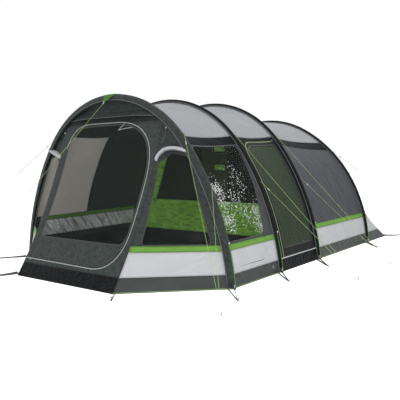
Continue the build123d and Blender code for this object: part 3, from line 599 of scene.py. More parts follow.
def clothMaterial(name, colour, rough, sheen, gloss, crease, thread):
    material, tree, shader, do = newMaterial(name)
    flat = mapped(tree, "flat")
    dust = clothLook["paleDust"] if sum(colour) > clothLook["pale"] else clothLook["darkDust"]
    tone, roughness, _ = toned(tree, colour, clothLook["variation"], dust)
    # the crease's last number sets how much painted shade and highlight its folds get
    across, along, turned, depth, paintedFoldShade = crease
    weave = useGroup(tree, weaveGroup, Flat=flat, Pitch=clothLook["weave"])
    fold = useGroup(tree, creaseGroup, Flat=flat, Across=across, Along=along, Turn=turned, Mark=paintedFoldShade)
    hems = useGroup(tree, hemGroup, Hem=mapped(tree, "hem"))
    shade = do("MULTIPLY", weave["Shade"], do("MULTIPLY", fold["Shade"], hems["Shade"]))
    shaded = addNode(tree, "VectorMath", {0: tone, "Scale": shade}, operation="SCALE").outputs[0]
    normal = bumpOf(tree, fold["Height"], depth, 0.8)
    normal = bumpOf(tree, weave["Height"], clothLook["weaveDepth"], 0.5, normal)
    normal = bumpOf(tree, hems["Height"], clothLook["hemDepth"], 0.8, normal)
    setInputs(tree, shader, {
        "Base Color": blendColours(tree, hems["Thread"], shaded, linear(*thread)),
        "Roughness": do("ADD", roughness, rough), "Sheen Weight": sheen,
        "Sheen Roughness": clothLook["sheenRoughness"], "Specular IOR Level": gloss, "Normal": normal})
    return material


cloths = {name: clothMaterial(name, *finish) for name, finish in clothFinishes.items()}
paintedBlindGlow = 0.09  # painted glow: the blind gives off a little light of its own colour, standing in for daylight through it from the window behind
blindMaterial = cloths["blindCloth"].node_tree
setInputs(blindMaterial, blindMaterial.nodes["Principled BSDF"],
          {"Emission Color": linear(*clothFinishes["blindCloth"][0]), "Emission Strength": paintedBlindGlow})


# window film: clear, a little grey, with slow waves, and on one window a few painted reflections: bright flecks where
# it would mirror the sky and leaves

clearFilm = {"tint": (96, 104, 100), "clear": 0.05}
darkFilm = {"tint": (48, 64, 41), "clear": 0.62}
filmWaves = {"scale": 3.2, "haze": 0.06, "depth": 0.02, "roughness": 0.08, "gloss": 0.12}
# painted reflections of bright leaves in a few places: y, z, reach and share of each
paintedReflections = [(-1.521, 0.961, 0.26, 1.0), (-1.486, 0.855, 0.22, 0.9), (-1.485, 0.648, 0.22, 1.0),
          (-0.935, 0.590, 0.26, 0.9), (-0.959, 0.700, 0.22, 0.8), (-1.168, 0.720, 0.26, 0.7),
          (-1.10, 1.040, 0.40, 0.42), (-1.28, 0.86, 0.42, 0.55)]
reflectedLeafLook = {"scale": 92, "from": 0.60, "to": 0.38, "power": 2.2, "share": 0.85, "most": 0.95,
            "colour": (0.95, 0.97, 0.95, 1)}


def filmMaterial(name, look, reflectionShare=0.0):
    material, tree, shader, do = newMaterial(name)
    flat = mapped(tree, "flat")
    waves = noisy(tree, flat, filmWaves["scale"])
    haze = do("MULTIPLY_ADD", waves, filmWaves["haze"], look["clear"] - 0.03)
    colour = linear(*look["tint"])
    if reflectionShare > 0:
        reflectedLeaves = addNode(tree, "TexVoronoi", {"Scale": reflectedLeafLook["scale"], "Vector": flat}, feature="F1").outputs
        spot = ranged(tree, reflectedLeaves["Distance"], reflectedLeafLook["from"], reflectedLeafLook["to"])
        where = None
        for y, z, reach, share in paintedReflections:
            away = addNode(tree, "VectorMath", {0: flat, 1: (flatAt(y, z), y, 0)}, operation="DISTANCE")
            near = ranged(tree, away.outputs["Value"], reach, 0, top=share)
            where = near if where is None else do("MAXIMUM", where, near)
        chance = do("MULTIPLY", do("POWER", where, reflectedLeafLook["power"]), reflectedLeafLook["share"])
        chosen = do("LESS_THAN", split(tree, reflectedLeaves["Color"])[0], chance)
        # painted reflection: where the flecks fall the film is painted near-white and made less see-through
        mask = do("MULTIPLY", do("MULTIPLY", chosen, spot), reflectionShare)
        haze = do("MINIMUM", do("ADD", haze, mask), reflectedLeafLook["most"])
        colour = blendColours(tree, mask, colour, reflectedLeafLook["colour"])
    setInputs(tree, shader, {
        "Base Color": colour, "Alpha": haze, "Roughness": filmWaves["roughness"],
        "Specular IOR Level": filmWaves["gloss"], "Normal": bumpOf(tree, waves, filmWaves["depth"], 0.5)})
    return material


cloths["film"] = filmMaterial("film", clearFilm)
# the right side window gets the painted reflections
cloths["sideFilm"] = filmMaterial("sideFilm", clearFilm, 0.9)
cloths["doorFilm"] = filmMaterial("doorFilm", darkFilm)


# fine net of the inner tent, dark and half see-through

netLook = {"colour": (40, 50, 38), "variation": 0.25, "pitch": 0.003, "roughness": 0.75, "gloss": 0.1, "clouds": 3,
           "thick": 0.72, "swing": 0.2, "depth": 0.0004}


def netMaterial():
    material, tree, shader, do = newMaterial("net")
    flat = mapped(tree, "flat")
    weave = useGroup(tree, weaveGroup, Flat=flat, Pitch=netLook["pitch"])
    setInputs(tree, shader, {
        "Base Color": toned(tree, netLook["colour"], netLook["variation"], 0.0)[0], "Roughness": netLook["roughness"],
        "Specular IOR Level": netLook["gloss"],
        "Alpha": do("MULTIPLY_ADD", noisy(tree, flat, netLook["clouds"]), netLook["swing"], netLook["thick"]),
        "Normal": bumpOf(tree, weave["Height"], netLook["depth"], 0.5)})
    return material


cloths["net"] = netMaterial()


# ribs across a strip, webbing or zip teeth: colour, roughness, pitch, depth, and how dark the painted shade between
# them is

ribbedLooks = {
    "zipTape": ((178, 186, 182), 0.5, 0.003, 0.0006, 0.18), "limeZip": ((150, 172, 118), 0.5, 0.003, 0.0006, 0.18),
    "whiteTape": ((200, 202, 200), 0.55, 0.0015, 0.0002, 0.08), "webbing": ((46, 48, 49), 0.65, 0.0018, 0.0003, 0.2),
    "limeWebbing": ((92, 142, 48), 0.65, 0.0018, 0.0003, 0.2), "piping": ((100, 104, 104), 0.55, 0.004, 0.0002, 0.08),
    "darkPiping": ((70, 76, 74), 0.55, 0.004, 0.0002, 0.08), "limePiping": ((142, 178, 92), 0.55, 0.004, 0.0002, 0.08),
}
grooveShade = (0.02, 0.02, 0.02, 1)


def ribbedMaterial(name, colour, rough, pitch, depth, dark):
    material, tree, shader, do = newMaterial(name)
    along = split(tree, mapped(tree, "flat"))[0]
    ribs = do("MULTIPLY_ADD", do("SINE", do("MULTIPLY", along, 2 * pi / pitch)), 0.5, 0.5)
    tone, roughness, _ = toned(tree, colour, 0.10, 0.25)
    # painted shade in the grooves between the ribs
    between = do("MULTIPLY", do("SUBTRACT", 1.0, ribs), dark)
    setInputs(tree, shader, {
        "Base Color": blendColours(tree, between, tone, grooveShade), "Roughness": do("ADD", roughness, rough),
        "Normal": bumpOf(tree, ribs, depth, 0.7)})
    return material


# metal, plastic and cord: colour, roughness, metal, and the grain's scale, depth and spread of tone

plastic = (0.0, 900.0, 0.0003, 0.12)
hardLooks = {
    "pegSteel": ((66, 67, 70), 0.38, 0.85, 260.0, 0.0004, 0.25),
    "poleSteel": ((150, 152, 156), 0.3, 0.9, 120.0, 0.0002, 0.1),
    "cupPlastic": ((30, 31, 32), 0.5, *plastic), "whitePlastic": ((208, 208, 204), 0.4, *plastic),
    "runnerPlastic": ((176, 178, 176), 0.4, *plastic), "zipMetal": ((150, 152, 154), 0.28, 0.9, 300.0, 0.0001, 0.1),
    "guyCord": ((158, 192, 108), 0.6, 0.0, 1400.0, 0.0004, 0.2),
}


def hardMaterial(name, colour, rough, metal, grain, depth, variation):
    material, tree, shader, do = newMaterial(name)
    tone, roughness, place = toned(tree, colour, variation, 0.15)
    setInputs(tree, shader, {
        "Base Color": tone, "Roughness": do("ADD", roughness, rough), "Metallic": metal,
        "Normal": bumpOf(tree, noisy(tree, place, grain, 3), depth, 0.5)})
    return material


for name, look in ribbedLooks.items():
    cloths[name] = ribbedMaterial(name, *look)
for name, look in hardLooks.items():
    cloths[name] = hardMaterial(name, *look)
print("stage: finishes")


# cloth panels: a flat cut piece with holes, filled with points, then carried to its place

hemWidth = 0.014


def meshPiece(name, mesh, materials):
    data = bpy.data.meshes.new(name)
    mesh.to_mesh(data)
    mesh.free()
    piece = addObject(name, data)
    for material in materials:
        data.materials.append(cloths[material])
    for face in data.polygons:
        face.use_smooth = True
    return piece


def thicken(piece, thickness, offset, backMaterial=0):
    onlySelect(piece)
    wall = piece.modifiers.new("thickness", "SOLIDIFY")
    wall.thickness, wall.offset, wall.material_offset = thickness, offset, backMaterial
    bpy.ops.object.modifier_apply(modifier=wall.name)
    return piece


def around(loop):
    return zip(loop, loop[1:] + loop[:1])


def signedArea(loop):
    return sum(a[0] * b[1] - b[0] * a[1] for a, b in around(loop)) / 2


def evenSteps(loop, spacing):
    dense = []
    for a, b in around(loop):
        a, b = Vector(a[:2]), Vector(b[:2])
        if (b - a).length < 1e-6:
            continue
        count = max(1, round((b - a).length / spacing))
        dense += [a.lerp(b, index / count) for index in range(count)]
    return dense


class CutEdges:
    # the cut edges of a flat piece: how far a point is from them, and where along them
    def __init__(self, loops):
        self.segments = []
        for loop in loops:
            run = 0.0
            total = sum((b - a).length for a, b in around(loop))
            for a, b in around(loop):
                self.segments.append((a, b, run, total))
                run += (b - a).length
        self.tree = KDTree(len(self.segments))
        for index, (a, b, _, _) in enumerate(self.segments):
            self.tree.insert((*((a + b) / 2), 0), index)
        self.tree.balance()

    def nearest(self, point):
        best = (1e9, 0, 1)
        for _, index, _ in self.tree.find_n((*point, 0), 5):
            a, b, run, total = self.segments[index]
            along = b - a
            share = min(max((point - a).dot(along) / along.length_squared, 0), 1)
            away = (point - a - along * share).length
            if away < best[0]:
                best = (away, run + along.length * share, total)
        return best


def layFlat(outline, holes, spacing):
    outline = evenSteps(outline if signedArea(outline) > 0 else outline[::-1], spacing)
    holes = [evenSteps(hole[::-1] if signedArea(hole) > 0 else hole, spacing) for hole in holes]
    loops = [outline, *holes]
    edges = CutEdges(loops)
    points, links, faces = [], [], []
    for loop in loops:
        start = len(points)
        points += loop
        count = len(loop)
        links += [(start + index, start + (index + 1) % count) for index in range(count)]
        face = [start + index for index in range(count)]
        faces.append(face if loop is outline else face[::-1])
    # a row of points along every hem, then staggered rows over the rest
    for loop in loops:
        for index, here in enumerate(loop):
            along = (loop[(index + 1) % len(loop)] - loop[index - 1]).normalized()
            inside = here + Vector((-along[1], along[0])) * hemWidth
            if edges.nearest(inside)[0] > 0.9 * hemWidth:
                points.append(inside)
    low = [min(point[axis] for point in outline) for axis in (0, 1)]
    high = [max(point[axis] for point in outline) for axis in (0, 1)]
    row, v = 0, low[1]
    while v < high[1]:
        u = low[0] + (spacing / 2 if row % 2 else 0)
        while u < high[0]:
            point = Vector((u, v))
            if edges.nearest(point)[0] > hemWidth + 0.4 * spacing:
                points.append(point)
            u += spacing
        row, v = row + 1, v + spacing * 0.866
    verts, _, tris, _, _, origins = delaunay_2d_cdt(points, links, faces, 0, 1e-7)
    kept = [tri for tri, origin in zip(tris, origins) if origin == [0]]
    return [Vector(vert) for vert in verts], kept, edges


def clothPiece(name, panels, materials, thickness=0.002, spacing=0.035, wrinkle=(0.004, 3.0, 3.0), inside=(0, 0.3, 0.4),
               seed=0):
    # panels: (outline, holes, place); wrinkle: height and how many waves a metre each way
    mesh = bmesh.new()
    flatMap, hemMap = mesh.loops.layers.uv.new("flat"), mesh.loops.layers.uv.new("hem")
    centre = Vector(inside)
    height, waveU, waveV = wrinkle
    for panelIndex, (outline, holes, place) in enumerate(panels):
        verts, tris, edges = layFlat(outline, holes, spacing)
        used = sorted({index for tri in tris for index in tri})
        base = {index: place(verts[index][0], verts[index][1]) for index in used}
        normals = {index: Vector((0, 0, 0)) for index in used}
        facing = 0
        for a, b, c in tris:
            normal = (base[b] - base[a]).cross(base[c] - base[a])
            facing += normal.dot(base[a] - centre)
            for index in (a, b, c):
                normals[index] += normal
        sign = 1 if facing >= 0 else -1
        made, near = {}, {}
        for index in used:
            flat = verts[index]
            near[index] = edges.nearest(flat)
            fade = smoothStep(near[index][0], 0.0, 0.10)
            wave = noise.noise(Vector((flat[0] * waveU, flat[1] * waveV, seed * 3.7 + panelIndex * 1.3)))
            wave += 0.5 * noise.noise(Vector((flat[0] * waveU * 2.3, flat[1] * waveV * 2.3, seed * 5.1 + 9)))
            out = normals[index].normalized() * sign
            made[index] = mesh.verts.new(base[index] + out * wave * height * fade)
        for tri in tris:
            order = tri if sign > 0 else tri[::-1]
            face = mesh.faces.new([made[index] for index in order])
            runs = [near[index][1] for index in order]
            total = near[order[0]][2]
            for loop, index, run in zip(face.loops, order, runs):
                loop[flatMap].uv = verts[index]
                if max(runs) - run > total / 2:
                    run += total
                loop[hemMap].uv = (run, min(near[index][0], 1.0))
    return thicken(meshPiece(name, mesh, materials), thickness, -1, len(materials) - 1)


def sheetFacts(piece, panels):
    # the cut is as large as the cloth's one face
    area = sum(face.area for face in piece.data.polygons) / 2
    width = max(max(p[0] for p in outline) - min(p[0] for p in outline) for outline, _, _ in panels)
    length = max(max(p[1] for p in outline) - min(p[1] for p in outline) for outline, _, _ in panels)
    if not 0.35 < area / (width * length) < 0.98:
        length = area / (0.8 * width)  # one long cut, or several side by side


def fit(piece, node=None, slot=None, panels=None, body="tent"):
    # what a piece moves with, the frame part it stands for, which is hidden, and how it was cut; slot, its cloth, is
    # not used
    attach(piece, body)
    if node:
        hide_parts(node)
    if panels:
        sheetFacts(piece, panels)
    return piece


def sewn(name, panels, materials, node=None, slot=None, body="tent", held="stretched", **cut):
    return fit(clothPiece(name, panels, materials, **cut), node, slot, panels, body)


def lined(cloth):
    return [cloth, "linerCloth"]


def joined(name, pieces):
    deselectAll()
    for piece in pieces:
        piece.select_set(True)
    bpy.context.view_layer.objects.active = pieces[0]
    bpy.ops.object.join()
    pieces[0].name = name
    pieces[0].data.name = name
    return pieces[0]


# tapes: width, lift off the cloth and thickness
edgeTape, zipTape, fineZipTape = (0.012, 0.0006, 0.0012), (0.010, 0.0008, 0.0014), (0.008, 0.0008, 0.0014)
sillTape, hemTape, tieTape = (0.012, 0.0008, 0.0014), (0.008, 0.0006, 0.001), (0.006, 0.0008, 0.0012)


def strip(name, path, place, look, material, closed=False, body="tent"):
    # a narrow tape along a flat path, lifted off the cloth it is sewn to
    width, lift, thickness = look
    step = 0.03
    dense = []
    pairs = list(around(path))
    for a, b in (pairs if closed else pairs[:-1]):
        a, b = Vector(a[:2]), Vector(b[:2])
        count = max(1, round((b - a).length / step))
        dense += [a.lerp(b, index / count) for index in range(count)]
    if not closed:
        dense.append(Vector(path[-1][:2]))
    mesh = bmesh.new()
    flatMap = mesh.loops.layers.uv.new("flat")
    rows, run = [], 0.0
    lifted = place(lift)
    count = len(dense)
    for index, here in enumerate(dense):
        before = dense[index - 1] if closed or index else here
        after = dense[(index + 1) % count] if closed or index < count - 1 else here
        along = (after - before).normalized()
        across = Vector((-along[1], along[0])) * width / 2
        if index:
            run += (here - dense[index - 1]).length
        rows.append(([mesh.verts.new(lifted(*(here + across * share))) for share in (-1, 0, 1)], run))
    steps = list(zip(rows, rows[1:]))
    if closed:
        steps.append((rows[-1], (rows[0][0], run + (dense[0] - dense[-1]).length)))
    for (first, runA), (second, runB) in steps:
        for side in (0, 1):
            face = mesh.faces.new([first[side], second[side], second[side + 1], first[side + 1]])
            uvs = ((runA, side), (runB, side), (runB, side + 1), (runA, side + 1))
            for loop, (u, v) in zip(face.loops, uvs):
                loop[flatMap].uv = (u, (v - 1) * width / 2)
    # outwards is where a little more lift goes
    halfway = dense[count // 2]
    outwards = place(lift + 0.01)(*halfway) - lifted(*halfway)
    mesh.normal_update()
    middleFace = min(mesh.faces, key=lambda face: (face.calc_center_median() - lifted(*halfway)).length)
    if middleFace.normal.dot(outwards) < 0:
        bmesh.ops.reverse_faces(mesh, faces=mesh.faces[:])
    return fit(thicken(meshPiece(name, mesh, [material]), thickness, 1), body=body)


def sweep(name, rails, material, capped=True):
    # rails: rows of points along a run; every row is the same closed profile
    mesh = bmesh.new()
    flatMap = mesh.loops.layers.uv.new("flat")
    rows = [[mesh.verts.new(point) for point in row] for row in rails]
    runs = [0.0]
    for first, second in zip(rails, rails[1:]):
        runs.append(runs[-1] + (Vector(second[0]) - Vector(first[0])).length)
    girth = [0.0]
    for a, b in around(rails[0]):
        girth.append(girth[-1] + (Vector(b) - Vector(a)).length)
    wide = len(rails[0])
    for index, (first, second) in enumerate(zip(rows, rows[1:])):
        for side in range(wide):
            other = (side + 1) % wide
            face = mesh.faces.new([first[side], second[side], second[other], first[other]])
            uvs = ((runs[index], girth[side]), (runs[index + 1], girth[side]),
                   (runs[index + 1], girth[side + 1]), (runs[index], girth[side + 1]))
            for loop, uv in zip(face.loops, uvs):
                loop[flatMap].uv = uv
    if capped:
        mesh.faces.new(rows[0])
        mesh.faces.new(rows[-1][::-1])
        bmesh.ops.recalc_face_normals(mesh, faces=mesh.faces[:])
    return meshPiece(name, mesh, [material])


# roof: three bays of light cloth, each one curved sheet sewn between two hoops

def roofPanel(low, high, lowSeam, highSeam):
    steps = 14
    stops = [(mix(low, high, i / steps), mix(lowSeam, highSeam, i / steps)) for i in range(steps + 1)]
    right = [(flatAt(y, z), y) for y, z in stops]
    return (right + [(-u, v) for u, v in right[::-1]], [], onTunnel())


roofBays = {
    "roofFrontBay": ("roof_front_bay", hoopY["front"], hoopY["second"], seams["roof"], seams["roof"]),
    "roofMiddleBay": ("roof_middle_bay", hoopY["second"], hoopY["third"], seams["roof"], seams["roof"]),
    "roofBedroom": ("roof_bedroom", hoopY["third"], hoopY["rear"], seams["roof"], seams["rearRoof"]),
}
for order, (name, (node, *edges)) in enumerate(roofBays.items()):
    sewn(name, [roofPanel(*edges)], lined("roofCloth"), node, "light_cloth", spacing=0.05, wrinkle=(0.003, 2.0, 3.0),
         seed=order)
print("stage: roof")


# side walls: a dark band under the roof, grey cloth, and the windows' holes

windowFront, windowRear = hoopY["front"], hoopY["second"]
sideWindows = {
    "right": [(windowFront + 0.075, 1.42), (windowRear - 0.040, 1.42), (windowRear - 0.095, 1.0),
              (windowRear - 0.205, 0.45), (windowFront + 0.05, 0.45)],
    "left": [(windowFront + 0.075, 1.42), (windowRear - 0.135, 1.42), (windowRear - 0.125, 1.0),
             (windowRear - 0.20, 0.56), (windowFront + 0.05, 0.56)],
}
windowCorner = 0.06
sideDoor = {"front": hoopY["second"] + 0.11, "rear": hoopY["third"] - 0.07, "low": 0.15, "top": 1.465, "corner": 0.20,
            "border": 0.045, "strip": 0.11}
frontBay, middleBay, bedroomBay = ((hoopY[front], hoopY[rear]) for front, rear in
                                   (("front", "second"), ("second", "third"), ("third", "rear")))
rearDrop = 0.10  # how much lower the dark band runs at the rear hoop
bandCut = {"spacing": 0.03, "wrinkle": (0.001, 3, 3)}
paneLift = -0.0005
paneCut = {"thickness": 0.001, "spacing": 0.04}


def doorLoop(inset, rearInset, low):
    front, rear, top = sideDoor["front"] + inset, sideDoor["rear"] - rearInset, sideDoor["top"] - inset
    corners = [(front, low), (front, top), (rear, top), (rear, low)]
    return rounded(corners, [0, sideDoor["corner"] - inset, 0.0, 0], 8)


def bayLoop(bay, low, high, rearHigh=None):
    return [(bay[0], low), (bay[1], low), (bay[1], high if rearHigh is None else rearHigh), (bay[0], high)]


def tunnelPanel(loop, side, holes=()):
    return (tunnelOutline(loop, side), list(holes), onTunnel())


def bandedWall(name, node, wallLoop, bandLoop, side, holes=(), **cut):
    # grey cloth, with the dark band under the roof sewn on
    wallPanel, bandPanel = tunnelPanel(wallLoop, side, holes), tunnelPanel(bandLoop, side)
    wall = clothPiece(name, [wallPanel], lined("greyCloth"), **cut)
    band = clothPiece(name.replace("Wall", "Band"), [bandPanel], lined("darkCloth"), **bandCut)
    fit(joined(name, [wall, band]), node, "grey_cloth", [wallPanel, bandPanel])


for sideName, side in (("right", 1), ("left", -1)):
    hole = tunnelOutline(rounded(sideWindows[sideName], windowCorner), side, 0.03)
    bandedWall(f"frontBayWall.{sideName}", f"side_wall_front_{sideName}",
               bayLoop(frontBay, seams["stripe"], seams["band"]), bayLoop(frontBay, seams["band"], seams["roof"]),
               side, [hole], seed=4)
    sewn(f"sideWindow.{sideName}", [(hole, [], onTunnel(paneLift))], ["sideFilm" if side > 0 else "film"],
         f"side_window_{sideName}", "film", wrinkle=(0.003, 2, 2), seed=7, **paneCut)
    strip(f"sideWindowEdge.{sideName}", hole, onTunnel, edgeTape, "webbing", closed=True)
    name, node = f"middleBayWall.{sideName}", f"side_wall_middle_{sideName}"
    if side > 0:
        # the door cuts through wall and band, so they are one panel there
        hole = tunnelOutline(doorLoop(0, 0, sideDoor["low"]), side, 0.03)
        sewn(name, [tunnelPanel(bayLoop(middleBay, seams["flap"], seams["roof"]), side, [hole])], lined("darkCloth"),
             node, "grey_cloth", wrinkle=(0.002, 3, 3), seed=5)
    else:
        bandedWall(name, node, bayLoop(middleBay, seams["stripe"], seams["band"]),
                   bayLoop(middleBay, seams["band"], seams["roof"]), side, spacing=0.04, seed=5)
    bandRear = seams["band"] - rearDrop
    bandedWall(f"bedroomWall.{sideName}", f"side_wall_bedroom_{sideName}",
               bayLoop(bedroomBay, seams["stripe"], seams["band"], bandRear),
               [(bedroomBay[0], seams["band"]), (bedroomBay[1], bandRear), (bedroomBay[1], seams["rearRoof"]),
                (bedroomBay[0], seams["roof"])], side, spacing=0.04, wrinkle=(0.006, 2.5, 3.5), seed=6)
print("stage: side walls")


# side door: a dark leaf with a tall window, closed by a zip round its front and top

doorGap, hingeGap, tapeOver = 0.0018, 0.0005, 0.006
doorSill = sideDoor["low"] + sideDoor["strip"]
border = sideDoor["border"]
leafLoop = tunnelOutline(doorLoop(doorGap, hingeGap, sideDoor["low"] + doorGap), 1, 0.03)
filmLoop = tunnelOutline(doorLoop(border, border, doorSill), 1, 0.03)
sewn("sideDoorLeaf", [(leafLoop, [filmLoop], onTunnel())], lined("blackCloth"), "side_door", "dark_cloth", "side_door",
     spacing=0.03, wrinkle=(0.002, 3, 3), seed=8)
sewn("sideDoorWindow", [(filmLoop, [], onTunnel(paneLift))], ["doorFilm"], "side_door_window", "film", "side_door",
     wrinkle=(0.004, 2, 2), seed=9, **paneCut)
sewn("sideDoorSill", [tunnelPanel(bayLoop(middleBay, 0.0, seams["flap"]), 1)], lined("blackFlapCloth"),
     "side_door_sill", "black_cloth", spacing=0.03, wrinkle=(0.004, 5, 2), seed=10)
# the zip runs from the door's lower front corner over its top, and stops before the hinge
zipPath = tunnelOutline(doorLoop(-0.006, 0.004, sideDoor["low"]), 1, 0.03)
ground = qToFlat(1)
zipStart = min(range(len(zipPath)),
               key=lambda i: (zipPath[i][1] - sideDoor["front"]) ** 2 + (abs(zipPath[i][0]) - ground) ** 2)
zipRun = zipPath[zipStart:] + zipPath[:zipStart]
zipEnd = max(index for index, point in enumerate(zipRun)
             if point[1] < sideDoor["rear"] - 0.01 and point[0] < flatAt(0, 1.3))
strip("sideDoorZip", zipRun[:zipEnd + 1], onTunnel, zipTape, "limeZip")
sillEdge = [(flatAt(y, 0.146), y) for y in (mix(*middleBay, i / 30) for i in range(31))]
strip("sillEdge", sillEdge, onTunnel, sillTape, "whiteTape")
tapeLoop = tunnelOutline(doorLoop(border - tapeOver, border - tapeOver, doorSill - tapeOver), 1, 0.03)
strip("sideDoorWindowEdge", tapeLoop, onTunnel, edgeTape, "webbing", closed=True, body="side_door")
print("stage: side door")


# front wall, its D-shaped door and the gable above

frontDoor = {"left": 0.08 - frontHalf, "right": frontHalf - 0.07, "low": 0.185, "top": frontTop - 0.01,
             "lowRight": 0.33, "topRight": 0.52, "topLeft": 0.30, "border": 0.028, "strip": 0.245,
             "filmLowRight": 0.12}
frontInside = (0, 0, 1.4)


def frontDoorLoop(inset, leftInset, low, lowCorner):
    left, right, top = frontDoor["left"] + leftInset, frontDoor["right"] - inset, frontDoor["top"] - inset
    corners = [(left, low), (right, low), (right, top), (left, top)]
    return rounded(corners, [0, lowCorner - inset, frontDoor["topRight"] - inset, frontDoor["topLeft"] - inset], 10)


def between(low, high):
    # a straight panel across the front wall
    return [(-frontHalf, low), (frontHalf, low), (frontHalf, high), (-frontHalf, high)]


doorSill = frontDoor["low"] + frontDoor["strip"]
border = frontDoor["border"]
frontHole = frontDoorLoop(0, 0, frontDoor["low"], frontDoor["lowRight"])
leafLoop = frontDoorLoop(doorGap, hingeGap, frontDoor["low"] + doorGap, frontDoor["lowRight"])
filmLoop = frontDoorLoop(border, border, doorSill, frontDoor["filmLowRight"])
sewn("frontWall", [(between(seams["flap"], frontTop), [frontHole], onFront())], lined("frontCloth"), "front_wall",
     "grey_cloth", spacing=0.03, wrinkle=(0.004, 2.5, 4), inside=frontInside, seed=11)
sewn("frontDoorLeaf", [(leafLoop, [filmLoop], onFront())], lined("frontCloth"), "front_door", "grey_cloth",
     "front_door", spacing=0.03, wrinkle=(0.006, 2.5, 5), inside=frontInside, seed=12)
sewn("frontDoorWindow", [(filmLoop, [], onFront(paneLift))], ["film"], "front_door_window", "film", "front_door",
     thickness=0.001, spacing=0.045, wrinkle=(0.005, 1.8, 1.8), inside=frontInside, seed=13)
# the zip runs from the lower left corner, round the right, to the upper left
zipLoop = frontDoorLoop(-0.006, 0, frontDoor["low"] - 0.006, frontDoor["lowRight"])
strip("frontDoorZip", [(0.008 - frontHalf, frontDoor["low"] + 0.004)] + zipLoop[1:-1], onFront, fineZipTape, "zipTape")
tapeLoop = frontDoorLoop(border - tapeOver, border - tapeOver, doorSill - tapeOver, frontDoor["filmLowRight"])
strip("frontDoorWindowEdge", tapeLoop, onFront, edgeTape, "webbing", closed=True, body="front_door")

gableY = hoopY["front"] - 0.003
archAngle = asin(frontHalf / mainHoop["crown"])
gableArch = [(mainHoop["crown"] * sin(archAngle * t), mainHoop["crownZ"] + mainHoop["crown"] * cos(archAngle * t))
             for t in (mix(-1, 1, i / 40) for i in range(41))]


def onGable(lift=0.0):
    def place(x, z):
        bow = 0.015 * smoothStep(roofTop - z, 0, 0.12) * smoothStep(z - frontTop, -0.02, 0.10)
        return Vector((x, gableY - lift + bow, z))
    return place


sewn("frontGable", [([(-frontHalf, frontTop), (frontHalf, frontTop)] + gableArch[::-1], [], onGable())],
     lined("frontClothInShade"), "front_gable", "grey_cloth", spacing=0.03, wrinkle=(0.004, 3, 6), inside=(0, 0, 1.6), seed=14)


# rain flap over the door: it stands off the gable, less so at its ends

rainFlap = {"topZ": roofTop - 0.163, "lowZ": roofTop - 0.223, "topReach": 0.53, "lowReach": 0.70, "out": 0.060,
            "droop": 0.012, "hem": 0.006}
flapTop, flapLow = rainFlap["topZ"], rainFlap["lowZ"]
topReach, lowReach = rainFlap["topReach"], rainFlap["lowReach"]


def onRainFlap(lift=0.0):
    def place(x, z):
        share = (flapTop - z) / (flapTop - flapLow)
        end = smoothStep(abs(x), topReach - 0.15, lowReach)
        out = rainFlap["out"] * share * (1 - 0.75 * end)
        return Vector((x, gableY - 0.001 - out - lift, z - rainFlap["droop"] * end * share))
    return place


flapLoop = [(-lowReach, flapLow), (lowReach, flapLow), (topReach, flapTop), (-topReach, flapTop)]
sewn("rainFlap", [(flapLoop, [], onRainFlap())], lined("frontClothInShade"), "door_rain_flap", "grey_cloth", spacing=0.02,
     wrinkle=(0.005, 4, 8), inside=(0, 0, 1.2), seed=15)
flapHem = flapLow + rainFlap["hem"]
strip("rainFlapHem", [(-lowReach, flapHem), (lowReach, flapHem)], onRainFlap, hemTape, "darkPiping")
print("stage: front wall and door")


# two white ties, sewn to the front wall below the rain flap

tieTapes = {"look": (0.005, 0.0008, 0.0012), "off": 0.004, "apart": 0.001,
            "runs": [[(0.134, 1.608), (0.180, 1.648), (0.223, 1.681)], [(0.134, 1.608), (0.25, 1.624), (0.355, 1.631)]]}
for index, run in enumerate(tieTapes["runs"]):
    off = tieTapes["off"] + tieTapes["apart"] * index
    strip(f"tieTape.{index}", run, lambda lift, off=off: onFront(lift + off), tieTapes["look"], "whiteTape")


# lime gusset over the top of the front sleeve, where the front guy line pulls

gusset = {"path": [(-1.622, 2.0175), (-1.650, 2.0205), (-1.675, 2.0155), (-1.690, 2.0005), (-1.722, 1.966),
                   (-1.765, 1.925)],
          "wide": 0.135, "tip": 0.014, "curve": 1.1}


def partAt(runs, run):
    # the part of a line that a length along it falls in, and how far into that part
    part = max(i for i, value in enumerate(runs[:-1]) if value <= run + 1e-9)
    return part, (run - runs[part]) / (runs[part + 1] - runs[part])


gussetRuns = [0.0]
for (y0, z0), (y1, z1) in zip(gusset["path"], gusset["path"][1:]):
    gussetRuns.append(gussetRuns[-1] + sqrt((y1 - y0) ** 2 + (z1 - z0) ** 2))


def onGusset(x, run):
    part, share = partAt(gussetRuns, run)
    (y0, z0), (y1, z1) = gusset["path"][part], gusset["path"][part + 1]
    return Vector((x, mix(y0, y1, share), mix(z0, z1, share) - x * x / (2 * mainHoop["crown"]) * gusset["curve"]))


wide, tip, gussetEnd = gusset["wide"], gusset["tip"], gussetRuns[-1]
sewn("apexGusset", [([(-wide, 0.0), (-tip, gussetEnd), (tip, gussetEnd), (wide, 0.0)], [], onGusset)],
     ["gussetCloth", "gussetCloth"], None, "green_cloth", thickness=0.0015, spacing=0.012, wrinkle=(0.001, 8, 8),
     inside=(0, -1.5, 1.9), seed=51)


# wings beside the front wall, each with a four-sided window under a hood

def wingShare(across, up):
    return (frontHalf + across * (baseHalf - frontHalf), up * frontTop)


windowLow = 0.43 / frontTop + 0.004
wingWindow = rounded([wingShare(0.095, windowLow), wingShare(0.785, windowLow), wingShare(0.402, 0.768),
                      wingShare(0.19, 0.797), wingShare(0.05, 0.737)], 0.03, 5)
hoodSteps = 36
hood = {"right": [wingShare(0.024, 0.742), wingShare(0.045, 0.775), wingShare(0.105, 0.804), wingShare(0.185, 0.811),
                  wingShare(0.30, 0.802), wingShare(0.455, 0.776)],
        "left": [wingShare(0.012, 0.765), wingShare(0.23, 0.795), wingShare(0.455, 0.822)],
        "width": 0.042, "out": 0.070}


